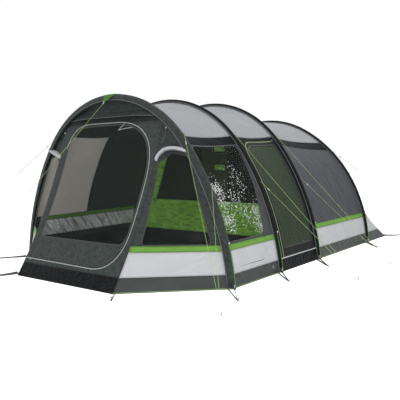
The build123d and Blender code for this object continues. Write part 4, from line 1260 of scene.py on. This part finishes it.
def archLine(lowZ, highZ, steps=40):
    heights = [mix(lowZ, highZ, i / steps) for i in range(steps + 1)]
    return [(hoopX(z) - 0.0005, z) for z in heights]


def alongLine(points, count):
    lengths = [0.0]
    for a, b in zip(points, points[1:]):
        lengths.append(lengths[-1] + (Vector(b) - Vector(a)).length)
    out = []
    for index in range(count + 1):
        part, share = partAt(lengths, lengths[-1] * index / count)
        out.append(Vector(points[part]).lerp(Vector(points[part + 1]), min(share, 1)))
    return out


def smoothed(points, rounds=4):
    for _ in range(rounds):
        inner = [(a + b * 2 + c) / 4 for a, b, c in zip(points, points[1:], points[2:])]
        points = [points[0], *inner, points[-1]]
    return points


def hoodPiece(sideName, side):
    # a light band that stands off the wing over the window's slanting top
    lower = smoothed(alongLine(hood[sideName], hoodSteps))
    rails = []
    for index, low in enumerate(lower):
        before, after = lower[max(index - 1, 0)], lower[min(index + 1, hoodSteps)]
        along = (after - before).normalized()
        up = Vector((-along[1], along[0]))
        out = hood["out"] * (0.12 + 0.88 * sin(pi * index / hoodSteps) ** 0.8)
        profile = ((0.0, 0.002), (0.0, out), (0.3, out + 0.002), (0.7, out * 0.75 + 0.002), (1.0, 0.004), (1.0, 0.001),
                   (0.4, 0.001))
        rails.append([onWing(side, lift)(*(low + up * hood["width"] * share)) for share, lift in profile])
    return fit(sweep(f"ventHood.{sideName}", rails, "bandCloth"))


hoods = []
for sideName, side in (("right", 1), ("left", -1)):
    inside = (side * 0.4, -1.4, 0.6)
    arch = archLine(seams["stripe"], wingTop - 0.001)
    outline = [(frontHalf, seams["stripe"]), *arch, (frontHalf, wingTop - 0.002)]
    sewn(f"wing.{sideName}", [(outline, [wingWindow], onWing(side))], lined("frontCloth"), f"wing_{sideName}",
         "grey_cloth", spacing=0.03, wrinkle=(0.004, 3, 4), inside=inside, seed=16 + side)
    sewn(f"wingWindow.{sideName}", [(wingWindow, [], onWing(side, paneLift))], ["film"], f"wing_window_{sideName}",
         "film", wrinkle=(0.003, 2, 2), inside=inside, seed=18, **paneCut)
    strip(f"wingWindowEdge.{sideName}", wingWindow, partial(onWing, side), edgeTape, "webbing", closed=True)
    hoods.append(hoodPiece(sideName, side))
fit(joined("ventHoods", hoods), "vent_hoods", "light_cloth")
print("stage: wings")


# rear wall: straight runs from the rear hoop down to the ground line behind it

third = baseHalf / 3
rearLowAngle = asin((seams["stripe"] - rearHoop["sideZ"]) / rearHoop["side"])
rearStretch = 1.1  # metres of cloth for one step of c


def rearRun(c):
    # c is 0 in the middle, 0.5 where crown and side meet, 1.5 at the corner; minus on the left
    size = abs(c)
    if size <= 0.5:
        arch = hoopAt(rearHoop, size)
        foot = third * size * 2
    else:
        angle = mix(rearHoop["joint"], rearLowAngle, size - 0.5)
        radius = rearHoop["side"]
        arch = Vector((rearHoop["sideX"] + radius * cos(angle), rearHoop["sideZ"] + radius * sin(angle)))
        foot = mix(third, baseHalf, size - 0.5)
    side = 1 if c >= 0 else -1
    return Vector((side * arch[0], hoopY["rear"], arch[1])), Vector((side * foot, edgeY["rear"], 0))


def onRear(lift=0.0):
    def place(u, z):
        top, foot = rearRun(u / rearStretch)
        t = 1 - min(z / top[2], 1)
        bow = 0.03 * 4 * t * (1 - t) * smoothStep(top[2], 0.4, 1.4)
        return top.lerp(foot, t) + Vector((0, 0.75, 0.45)) * (lift - bow)
    return place


def rearLoop(low, high=None):
    # up to the height given, or to the hoop
    count = 60
    line = [mix(-1.5, 1.5, i / count) for i in range(count + 1)]
    bottom = [(c * rearStretch, low) for c in line]
    if high is None:
        top = [(c * rearStretch, max(rearRun(c)[0][2] - 0.0005, low + 0.0005)) for c in line]
        return bottom + top[1:-1][::-1]
    return bottom + [(c * rearStretch, high) for c in line[::-1]]


sewn("rearWall", [(rearLoop(seams["stripe"]), [], onRear())], lined("greyCloth"), "rear_wall", "grey_cloth",
     spacing=0.045, wrinkle=(0.008, 2, 3), seed=20)


# low bands round the tent: lime stripe, light band and mud flap

rearReach = edgeY["rear"] - hoopY["rear"]


def onRearSide(side):
    def place(y, z):
        t = min(max((y - hoopY["rear"]) / rearReach, 0), 0.9999)
        archZ = min(z / (1 - t), seams["stripe"])
        x = mix(rearHoop["sideX"] + sqrt(rearHoop["side"] ** 2 - (archZ - rearHoop["sideZ"]) ** 2), baseHalf, t)
        return Vector((side * x, y, z))
    return place


def rearSideLoop(low, high):
    near = hoopY["rear"] + rearReach * (1 - low / seams["stripe"])
    far = hoopY["rear"] + rearReach * max(1 - high / seams["stripe"], 0.004)
    return [(hoopY["rear"], low), (near, low), (far, high), (hoopY["rear"], high)]


def wingStrip(low, high):
    return [(frontHalf + 0.0005, low)] + archLine(low, high, 6) + [(frontHalf + 0.0005, high)]


lowBands = {
    "limeStripes": ("trim_stripes", seams["light"], seams["stripe"], "limeCloth", (0.0015, 4, 4), "green_cloth"),
    "lightBands": ("light_bands", seams["flap"], seams["light"], "bandCloth", (0.007, 2.2, 2.2), "light_cloth"),
    "mudFlaps": ("mud_flaps", 0.0, seams["flap"], "flapCloth", (0.008, 3.5, 3.5), "dark_cloth"),
}
bays = {1: [frontBay, bedroomBay], -1: [frontBay, middleBay, bedroomBay]}  # the side door takes the right middle bay
for order, (name, (node, low, high, cloth, wrinkle, slotName)) in enumerate(lowBands.items()):
    panels = []
    for side in (1, -1):
        panels.append((wingStrip(low, high), [], onWing(side)))
        panels += [tunnelPanel(bayLoop(bay, low, high), side) for bay in bays[side]]
        panels.append((rearSideLoop(low, high), [], onRearSide(side)))
    panels.append((rearLoop(low, high), [], onRear()))
    piece = clothPiece(name, panels, lined(cloth), spacing=0.03, wrinkle=wrinkle, seed=30 + order)
    if name == "mudFlaps":
        front = (between(low, high), [], onFront())
        skirt = clothPiece("frontFlap", [front], lined("blackFlapCloth"), spacing=0.03, wrinkle=(0.010, 4, 6),
                           inside=(0, 0, 1.2), seed=34)
        piece = joined(name, [piece, skirt])
        panels.append(front)
    fit(piece, node, slotName, panels)


# lime piping along the hem of the mud flaps

hemPiping = {"z": 0.006, "radius": 0.003, "turns": (0, 1.26, 2.51, 3.77, 5.03)}


def hemLine(side, bay):
    return [onTunnel()(side * flatAt(y, hemPiping["z"]), y) for y in (mix(*bay, i / 20) for i in range(21))]


def pipeHem(name, line, side):
    radius = hemPiping["radius"]
    ring = [Vector((side * radius * cos(a), 0, radius + radius * sin(a))) for a in hemPiping["turns"]]
    fit(sweep(name, [[point + off for off in ring] for point in line], "limePiping"))


for sideName, side in (("right", 1), ("left", -1)):
    for bay in bays[side][1:]:
        pipeHem(f"hemPiping.{sideName}.{'middle' if bay is middleBay else 'rear'}", hemLine(side, bay), side)
    z = hemPiping["z"]
    wingHem = [onWing(side)(mix(frontHalf + 0.002, hoopX(z) - 0.002, i / 30), z) for i in range(31)]
    pipeHem(f"hemPiping.{sideName}.front", wingHem + hemLine(side, frontBay), side)
print("stage: rear wall and low bands")


# pole sleeves: profiles are along the tent and out from the hoop

tunnelSleeve = {"low": 0.05, "steps": 90, "profile": [
    (-0.026, 0.001), (-0.0235, 0.012), (-0.017, 0.026), (-0.008, 0.0345), (0.0, 0.0365), (0.008, 0.0345),
    (0.017, 0.026), (0.0235, 0.012), (0.026, 0.001), (0.012, 0.0), (-0.012, 0.0)]}
frontSleeve = {"low": 0.04, "steps": 110, "profile": [
    (0.050, 0.001), (0.034, 0.018), (0.018, 0.035), (0.006, 0.0415), (-0.010, 0.0425), (-0.024, 0.037), (-0.036, 0.022),
    (-0.044, 0.002), (-0.046, -0.020), (-0.040, -0.034), (-0.030, -0.036), (-0.016, -0.020), (-0.008, -0.003),
    (0.02, -0.001)]}
edgePiping = {"across": -0.0275, "out": 0.005, "radius": 0.0042, "sides": 8}
frontPiping = {"rear": (0.050, 0.004), "front": (-0.0470, -0.022), "radius": 0.0032, "sides": 7}
sleeveRipple = {"height": 0.0012, "waves": 60}


def sleeveRails(hoop, y, profile, look):
    end = upFromFoot(hoop, look["low"], 0.0025)
    rails = []
    for index in range(look["steps"] + 1):
        q = mix(-end, end, index / look["steps"])
        here = hoopAt(hoop, q)
        base = Vector((here[0], y, here[1]))
        ahead, behind = hoopAt(hoop, min(q + 0.003, end + 0.01)), hoopAt(hoop, max(q - 0.003, -end - 0.01))
        tangent = Vector((ahead[0] - behind[0], 0, ahead[1] - behind[1])).normalized()
        out = Vector((-tangent[2], 0, tangent[0]))
        if out.dot(base - Vector((0, y, 0.5))) < 0:
            out = -out
        ripple = sleeveRipple["height"] * noise.noise(Vector((q * sleeveRipple["waves"], y * 3, 0.4)))
        rails.append([base + Vector((0, dy, 0)) + out * (dn + ripple) for dy, dn in profile])
    return rails


def ringAt(across, out, radius, sides):
    return [(across + radius * cos(a), out + radius * sin(a)) for a in (2 * pi * i / sides for i in range(sides))]


for place in ("second", "third", "rear"):
    hoop, y = hoops[place], hoopY[place]
    rails = sleeveRails(hoop, y, tunnelSleeve["profile"], tunnelSleeve)
    fit(sweep(f"poleSleeve.{place}", rails, "blackCloth"), f"pole_sleeve_{place}", "black_cloth")
    fit(sweep(f"sleevePiping.{place}", sleeveRails(hoop, y, ringAt(**edgePiping), tunnelSleeve), "piping"))
rails = sleeveRails(mainHoop, hoopY["front"], frontSleeve["profile"], frontSleeve)
fit(sweep("poleSleeve.front", rails, "frontCloth"), "pole_sleeve_front", "grey_cloth")
for place in ("rear", "front"):
    ring = ringAt(*frontPiping[place], frontPiping["radius"], frontPiping["sides"])
    fit(sweep(f"sleeveSeam.{place}", sleeveRails(mainHoop, hoopY["front"], ring, frontSleeve), "piping"))
print("stage: pole sleeves")


# groundsheet with its upright rim

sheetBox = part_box("groundsheet")[1]
rim = {"side": sheetBox[0], "rear": sheetBox[1], "height": sheetBox[2], "inset": 0.002, "floor": 0.0028, "step": 0.06,
       "wave": 0.004}
sheetFront = frontY(rim["height"]) + 0.0035
sheetSide, sheetRear, sheetTop = rim["side"] - rim["inset"], rim["rear"] - rim["inset"], rim["height"] - 0.002
halfLoop = [(frontHalf - 0.012, sheetFront + 0.004), (sheetSide, hoopY["front"] + 0.014), (sheetSide, sheetRear)]
floorLoop = halfLoop + [(-x, y) for x, y in halfLoop[::-1]]
floorPanel = (floorLoop, [], lambda x, y: Vector((x, y, rim["floor"])))
groundCloth = ["groundsheetCloth", "groundsheetCloth"]
sheetFloor = clothPiece("groundsheetFloor", [floorPanel], groundCloth, spacing=0.08, wrinkle=(0.0, 2, 2),
                        inside=(0, 0, -3))
rimSteps = evenSteps(floorLoop, rim["step"])
rails = []
for here in rimSteps + rimSteps[:1]:
    toMiddle = (Vector((0, 0.2)) - here).normalized()
    wave = rim["wave"] * noise.noise(Vector((here[0] * 3, here[1] * 3, 2.0)))
    profile = ((0.0, 0.002), (0.001, 0.10 + wave), (0.002, sheetTop), (0.0042, sheetTop), (0.0032, 0.10),
               (0.0022, 0.002))
    rails.append([Vector((*(here + toMiddle * leanIn), z)) for leanIn, z in profile])
sheetRim = sweep("groundsheetRim", rails, "groundsheetCloth", capped=False)
piece = fit(joined("groundsheet", [sheetFloor, sheetRim]), "groundsheet", "groundsheet")


# inner tent: lime front with dark doors and net, and the cabin behind it

inner = {"front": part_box("inner_tent")[0][1], "rear": hoopY["rear"], "grow": -0.072, "rearGrow": -0.092, "sill": 0.65,
         "net": [(0.22, 0.65), (1.08, 0.65), (0.76, 1.50), (0.22, 1.50)], "thickness": 0.0015}
innerInside = (0, 3, 0.6)
innerCut = {"thickness": inner["thickness"], "spacing": 0.04, "inside": innerInside}


def archXAt(z):
    low, high = 0.0, 1.0
    for _ in range(30):
        q = (low + high) / 2
        if hoopAt(mainHoop, q, inner["grow"])[1] > z:
            low = q
        else:
            high = q
    return hoopAt(mainHoop, q, inner["grow"])[0]


def archAt(*heights):
    return [(archXAt(z), z) for z in heights]


def mirrored(points):
    return [(-x, z) for x, z in points]


def onPartition(x, z):
    bow = 0.012 * sin(pi * min(max(z / 1.9, 0), 1)) * cos(x * 1.3)
    return Vector((x, inner["front"] + 0.001 + bow, z))


def onCabin(u, y):
    q = flatToQ(u)
    share = min(max((y - inner["front"]) / (inner["rear"] - inner["front"]), 0), 1)
    first, second = hoopAt(mainHoop, q, inner["grow"]), hoopAt(rearHoop, q, inner["rearGrow"])
    section = first.lerp(second, share)
    return Vector((section[0], y, max(section[1], 0.005)))


def cabinPanel(fromU, toU):
    front, rear = inner["front"] + 0.004, inner["rear"] - 0.003
    return ([(fromU, front), (toU, front), (toU, rear), (fromU, rear)], [], onCabin)


# front: the lime wall below the sill and left of the doors, the dark doors over it and to the right
doorHalf = 0.79
sillHalf = [(archXAt(0.03), 0.006), (archXAt(0.2), 0.199)]
sill = (mirrored(sillHalf[:1]) + sillHalf + mirrored(sillHalf[1:]), [], onPartition)
lower = (mirrored(archAt(0.2)) + [(0.799, 0.2), (0.799, inner["sill"])] + mirrored(archAt(inner["sill"], 0.4, 0.3)),
         [], onPartition)
sideEdge = archAt(0.65, 0.8, 0.95, 1.1, 1.25, 1.4, 1.50) + [(doorHalf, 1.50), (1.11, 0.65)]
limeSide = (mirrored(sideEdge), [], onPartition)
darkEdge = [(0.80, 0.651), (0.80, 0.2)] + archAt(0.2, 0.3, 0.4) + sideEdge[:-1] + [(1.11, 0.651)]
darkSide = (darkEdge, [], onPartition)
crown = [(x, z) for x, z in (hoopAt(mainHoop, 1 - index / 60, inner["grow"]) for index in range(61)) if z >= 1.505]
doorEdge = [(1.11, 0.65), (doorHalf, 1.50)] + archAt(1.50) + crown
nets = [rounded(inner["net"], 0.03, 4), rounded(mirrored(inner["net"]), 0.03, 4)]
upper = (doorEdge + mirrored(doorEdge[:-1][::-1]), nets, onPartition)
innerSill = clothPiece("innerSill", [sill], groundCloth, inner["thickness"], 0.05, (0.010, 3, 3), innerInside, 39)
partition = clothPiece("innerFront", [lower, limeSide], ["innerGreen"] * 2, wrinkle=(0.012, 2.2, 3.5), seed=40,
                       **innerCut)
doors = clothPiece("innerDoors", [upper, darkSide], ["innerDark"] * 2, wrinkle=(0.008, 2.2, 3.0), seed=41,
                   **innerCut)

# cabin: lime sides, dark roof and back
wallU, splitU = qToFlat(0.995), qToFlat(0.80)
lowCabin = [cabinPanel(side * splitU, side * wallU) for side in (1, -1)]
highCabin = [cabinPanel(-splitU, splitU)]
cabinCut = {"thickness": inner["thickness"], "spacing": 0.09}
cabinLow = clothPiece("cabinLow", lowCabin, ["innerGreen"] * 2, wrinkle=(0.010, 2, 2), seed=42, **cabinCut)
cabinHigh = clothPiece("cabinHigh", highCabin, ["innerDark"] * 2, wrinkle=(0.014, 2, 2), seed=43, **cabinCut)
backArch = [(x, max(z, 0.006)) for x, z in (hoopAt(rearHoop, 1 - i / 30, inner["rearGrow"] - 0.004) for i in range(31))]
backPanel = (backArch + mirrored(backArch[::-1][1:]), [], lambda x, z: Vector((x, inner["rear"] - 0.002, z)))
cabinBack = clothPiece("cabinBack", [backPanel], ["innerDark"] * 2, wrinkle=(0.010, 2, 2), inside=(0, 0, 0.6), seed=44,
                       **cabinCut)
hangers = []
for y in (inner["front"] + 0.06, 0.95, inner["rear"] - 0.06):
    share = (y - hoopY["third"]) / (hoopY["rear"] - hoopY["third"])
    high = mix(roofTop, rearTop, share) - sagDepth(0, y) - 0.004
    low = onCabin(0, y)[2] - 0.004
    section = ((-0.01, -0.001), (0.01, -0.001), (0.01, 0.001), (-0.01, 0.001))
    rails = [[Vector((dx, y + dy, z)) for dx, dy in section] for z in (low, (low + high) / 2, high)]
    hangers.append(sweep(f"hanger{len(hangers)}", rails, "webbing"))
piece = joined("innerTent", [partition, innerSill, doors, cabinLow, cabinHigh, cabinBack, *hangers])
fit(piece, "inner_tent", "inner_cloth", [lower, sill, limeSide, upper, darkSide, *lowCabin, *highCabin, backPanel])
sewn("innerNet", [(net, [], onPartition) for net in nets], ["net"], "inner_tent_mesh", "mesh", held="hung",
     thickness=0.001, spacing=0.05, wrinkle=(0.004, 2, 2), inside=innerInside, seed=45)

pocketLook = {"left": 0.02, "right": 0.185, "heights": (1.13, 1.39), "steps": 12, "belly": 0.012}
pockets = []
for height in pocketLook["heights"]:
    rails = []
    for index in range(pocketLook["steps"] + 1):
        share = index / pocketLook["steps"]
        x = mix(pocketLook["left"], pocketLook["right"], share)
        belly = pocketLook["belly"] * sin(pi * index / pocketLook["steps"]) ** 0.5
        profile = ((0.001, -0.04), (0.004 + belly, -0.036), (0.006 + belly, 0.0), (0.004 + belly * 0.8, 0.04),
                   (0.001, 0.042))
        rails.append([Vector((x, inner["front"] - out, height + z)) for out, z in profile])
    pockets.append(sweep(f"pocket{height}", rails, "innerGreen"))
fit(joined("organiserPockets", pockets), "organiser_pockets", "inner_cloth")


# inside of the left wall: rolled-down blind, lime stripe and shiny skirt over the groundsheet's rim

blind = {"outline": [(-1.635, 1.590), (-0.850, 1.590), (-0.832, 1.45), (-0.805, 1.2), (-0.780, 0.54), (-1.635, 0.54)],
         "lift": -0.006}
sewn("windowBlind", [(tunnelOutline(blind["outline"], -1, 0.04), [], onTunnel(blind["lift"]))], ["blindCloth"] * 2,
     "window_blind_left", "blind_cloth", held="hung", thickness=0.0015, spacing=0.04, wrinkle=(0.006, 1.5, 2.5),
     seed=46)
wallRun = (hoopY["front"] + 0.08, hoopY["third"] - 0.01)
stripePanel = (tunnelOutline(bayLoop(wallRun, 0.487, 0.540), -1), [], onTunnel(-0.010))
sewn("innerStripe", [stripePanel], ["limeCloth"] * 2, None, "green_cloth", thickness=0.001, spacing=0.03,
     wrinkle=(0.001, 2, 2), seed=47)
skirtPanel = (tunnelOutline(bayLoop(wallRun, 0.275, 0.49), -1), [], onTunnel(-0.024))
sewn("innerSkirt", [skirtPanel], ["skirtFilm"] * 2, None, "groundsheet", held="hung", thickness=0.001, spacing=0.016,
     wrinkle=(0.016, 3, 14), seed=48)
print("stage: inside")


# straps at the feet: each peg holds two, joined at a ring

strapLook = {"width": 0.018, "thickness": 0.0022, "hem": 0.030, "ring": 0.009, "drop": 0.004}
ringLook = {"radius": 0.0075, "wire": 0.006, "steps": 14}
tapeLook = {"width": 0.010, "thickness": 0.0018, "low": 0.035, "steps": 18}


def flatBand(name, path, width, thickness, material, across=None):
    # a band along points in space; across gives its width's direction
    rails = []
    for index, here in enumerate(path):
        ahead, behind = path[min(index + 1, len(path) - 1)], path[max(index - 1, 0)]
        along = (ahead - behind).normalized()
        side = across if across is not None else along.cross(Vector((0, 0, 1))).normalized()
        side = (side - along * side.dot(along)).normalized()
        up = side.cross(along)
        corners = ((-1, -1), (1, -1), (1, 1), (-1, 1))
        rails.append([here + side * width / 2 * a + up * thickness / 2 * b for a, b in corners])
    return sweep(name, rails, material)


def strapTo(pegAt, start):
    end = pegAt + (start - pegAt).normalized() * strapLook["ring"]
    shares = [i / 10 for i in range(11)]
    path = [start.lerp(end, share) - Vector((0, 0, strapLook["drop"] * 4 * share * (1 - share))) for share in shares]
    return flatBand("strap", path, strapLook["width"], strapLook["thickness"], "webbing", Vector((0, 0, 1)))


footPegs, straps = [], []
for place, hoop in hoops.items():
    y = hoopY[place]
    outside = 0.043 if place == "front" else 0.0385
    for side in (1, -1):
        pegAt = Vector((side * (baseHalf + 0.290), y - 0.330, 0.006))
        cup = Vector((side * (hoopAt(hoop, 1, 0.02)[0] + 0.014), y - 0.012, 0.012))
        hem = Vector((side * (baseHalf + 0.006), y - 0.090, strapLook["hem"]))
        straps += [strapTo(pegAt, cup), strapTo(pegAt, hem)]
        footPegs.append(pegAt)
        # tape down the sleeve's foot, under the toggle
        tape = []
        for index in range(tapeLook["steps"] + 1):
            z = mix(tapeLook["low"], seams["stripe"], index / tapeLook["steps"])
            base = hoopAt(hoop, upFromFoot(hoop, z, 0.002), outside)
            tape.append(Vector((side * base[0], y - 0.004, base[1])))
        straps.append(flatBand("tape", tape, tapeLook["width"], tapeLook["thickness"], "limeWebbing",
                               Vector((0, 1, 0))))
for side in (1, -1):
    # the corners of the front wall and of the rear wall: a peg, and the two places its straps are sewn
    near, far = edgeY["front"], edgeY["rear"]
    cornerPegs = {
        (side * (frontHalf + 0.180), near - 0.180): ((side * (frontHalf - 0.03), near - 0.004, 0.030),
                                                     (side * (frontHalf + 0.03), near + 0.022, 0.030)),
        (side * (baseHalf + 0.180), far + 0.180): ((side * (baseHalf + 0.002), far - 0.030, 0.016),
                                                   (side * (baseHalf - 0.030), far + 0.002, 0.016)),
    }
    for (x, y), starts in cornerPegs.items():
        pegAt = Vector((x, y, 0.006))
        straps += [strapTo(pegAt, Vector(start)) for start in starts]
        footPegs.append(pegAt)
for pegAt in footPegs:
    angles = [2 * pi * i / ringLook["steps"] for i in range(ringLook["steps"] + 1)]
    turns = [pegAt + Vector((ringLook["radius"] * cos(a), ringLook["radius"] * sin(a), 0.0)) for a in angles]
    straps.append(flatBand("ring", turns, ringLook["wire"], ringLook["wire"], "webbing"))
fit(joined("footStraps", straps), "foot_straps", "webbing")


# loops that the guy lines are tied to, two on each side of a hoop and one at the front's top

loopLook = {"thickness": 0.0022, "width": 0.012, "upper": 1.50, "rearUpper": 1.28, "lower": 0.98}


def loopAt(base, normal, across):
    sideways = normal.cross(across)
    turnPoints = []
    for index in range(15):
        a = mix(-0.35, pi + 0.35, index / 14)
        turnPoints.append(base + normal * (0.0065 + 0.0075 * sin(a)) + sideways * 0.0068 * cos(a))
    turnPoints[0] = base + sideways * 0.004
    turnPoints[-1] = base - sideways * 0.004
    return flatBand("loop", turnPoints, loopLook["width"], loopLook["thickness"], "limeWebbing", across)


loops = []
for place, hoop in hoops.items():
    lift = 0.0406 if place == "front" else 0.0346
    for z in (loopLook["rearUpper"] if place == "rear" else loopLook["upper"], loopLook["lower"]):
        q = 0.0
        while hoopAt(hoop, q)[1] > z:
            q += 0.0005
        base, raised = hoopAt(hoop, q), hoopAt(hoop, q, lift)
        for side in (1, -1):
            normal = Vector((side * (raised[0] - base[0]), 0, raised[1] - base[1])).normalized()
            loops.append(loopAt(Vector((side * raised[0], hoopY[place], raised[1])), normal, Vector((0, 1, 0))))
loops.append(loopAt(Vector((0, hoopY["front"] - 0.0203, roofTop + 0.020)), Vector((0, -1, 0)), Vector((1, 0, 0))))
fit(joined("guyLoops", loops), "guy_loops", "green_webbing")
print("stage: straps and loops")


# toggles, rings and the small dark hooks inside

toggleLook = {"radius": 0.006, "length": 0.016}
beadLook = {"radius": 0.004, "length": 0.010}
eyeletLook = {"ring": 0.012, "wire": 0.0028, "flat": 0.6, "z": 0.085, "before": 0.135}


def placed(piece, name, at, direction, material):
    piece.name = name
    piece.data.materials.append(cloths[material])
    piece.rotation_euler = Vector(direction).to_track_quat("Z", "Y").to_euler()
    piece.location = at
    onlySelect(piece)
    bpy.ops.object.transform_apply(location=True, rotation=True, scale=True)
    bpy.ops.object.shade_smooth_by_angle(angle=radians(35))
    return piece


def toggle(name, at, direction, look, material):
    # a barrel with rounded ends
    radius, length = look["radius"], look["length"]
    deselectAll()
    bpy.ops.mesh.primitive_cylinder_add(vertices=18, radius=radius, depth=length)
    piece = bpy.context.active_object
    bpy.ops.object.mode_set(mode="EDIT")
    mesh = bmesh.from_edit_mesh(piece.data)
    for face in mesh.faces:
        face.select_set(abs(face.normal[2]) > 0.9)
    bmesh.update_edit_mesh(piece.data)
    bpy.ops.mesh.inset(thickness=radius * 0.45)
    bpy.ops.mesh.select_all(action="DESELECT")
    mesh = bmesh.from_edit_mesh(piece.data)
    for edge in mesh.edges:
        if all(abs(vert.co[2]) > length * 0.49 and vert.co.xy.length > radius * 0.9 for vert in edge.verts):
            edge.select_set(True)
    bmesh.update_edit_mesh(piece.data)
    bpy.ops.mesh.bevel(offset=radius * 0.35, segments=3)
    bpy.ops.object.mode_set(mode="OBJECT")
    return placed(piece, name, at, direction, material)


def eyelet(name, at, direction, look, material):
    deselectAll()
    bpy.ops.mesh.primitive_torus_add(major_radius=look["ring"], minor_radius=look["wire"], major_segments=28,
                                     minor_segments=8)
    piece = bpy.context.active_object
    piece.scale = (1, 1, look["flat"])
    return placed(piece, name, at, direction, material)


whiteBits, metalBits = [], []
for place, hoop in hoops.items():
    q = upFromFoot(hoop, seams["stripe"] + 0.012, 0.002)
    base = hoopAt(hoop, q, 0.050 if place == "front" else 0.046)
    for side in ((1,) if place == "front" else (1, -1)):
        at = (side * base[0], hoopY[place] - 0.004, base[1])
        whiteBits.append(toggle("toggle", at, (side * -0.25, 0, 1), toggleLook, "whitePlastic"))
    for side in {"front": (), "third": (-1,)}.get(place, (1, -1)):
        y = hoopY[place] - eyeletLook["before"]
        q = side * qAtHeight(y, eyeletLook["z"])
        at = tunnelPoint(q, y) + tunnelNormal(q, y) * (0.001 - sagDepth(q, y))
        metalBits.append(eyelet("eyelet", at, tunnelNormal(q, y), eyeletLook, "zipMetal"))
tieTop = (frontHalf + 0.045, 1.612)
hooks = {1: (-0.72, -0.79), -1: (-1.355, -1.357)}  # inside each wall: y where its height is taken, and its own y
for side in (1, -1):
    whiteBits.append(toggle("toggle", onWing(side, 0.010)(*tieTop), (0.1 * side, 0, 1), toggleLook, "whitePlastic"))
    heightY, hookY = hooks[side]
    for z in (1.39, 1.32):
        at = onTunnel(-0.020)(side * flatAt(heightY, z), hookY)
        metalBits.append(toggle("hook", at, (0.3 * side, 0, 1), beadLook, "cupPlastic"))
whiteBits.append(toggle("toggle", (0.0, -1.766, 1.928), (0, -0.741, -0.671), beadLook, "whitePlastic"))
fit(joined("toggles", whiteBits))
fit(joined("eyelets", metalBits))
for sideName, side in (("right", 1), ("left", -1)):
    # elastic tie hanging from the toggle by the sleeve, sewn down at both ends
    run = [tieTop, (frontHalf + 0.050, 1.55), (frontHalf + 0.040, 1.49), (frontHalf + 0.022, 1.44)]
    strip(f"doorTie.{sideName}", run, lambda lift, side=side: onWing(side, lift + 0.004), tieTape, "darkPiping")


# hardware that keeps its shape from the frame

keptParts = {
    "pegSteel": ["ground_pegs", "guy_pegs"],
    "poleSteel": [f"hoop_pole_{place}" for place in hoops],
    "cupPlastic": ["pole_foot_cups"],
    "zipMetal": ["front_zip_slider", "side_zip_slider"],
    "runnerPlastic": [f"guy_runner_{place}" for place in guyRoutes],
}
for finish, nodes in keptParts.items():
    for node in nodes:
        part = bpy.data.objects[node]
        part.data.materials.clear()
        part.data.materials.append(cloths[finish])
for piece in guyCords:
    piece.data.materials.append(cloths["guyCord"])
print("stage: hardware")
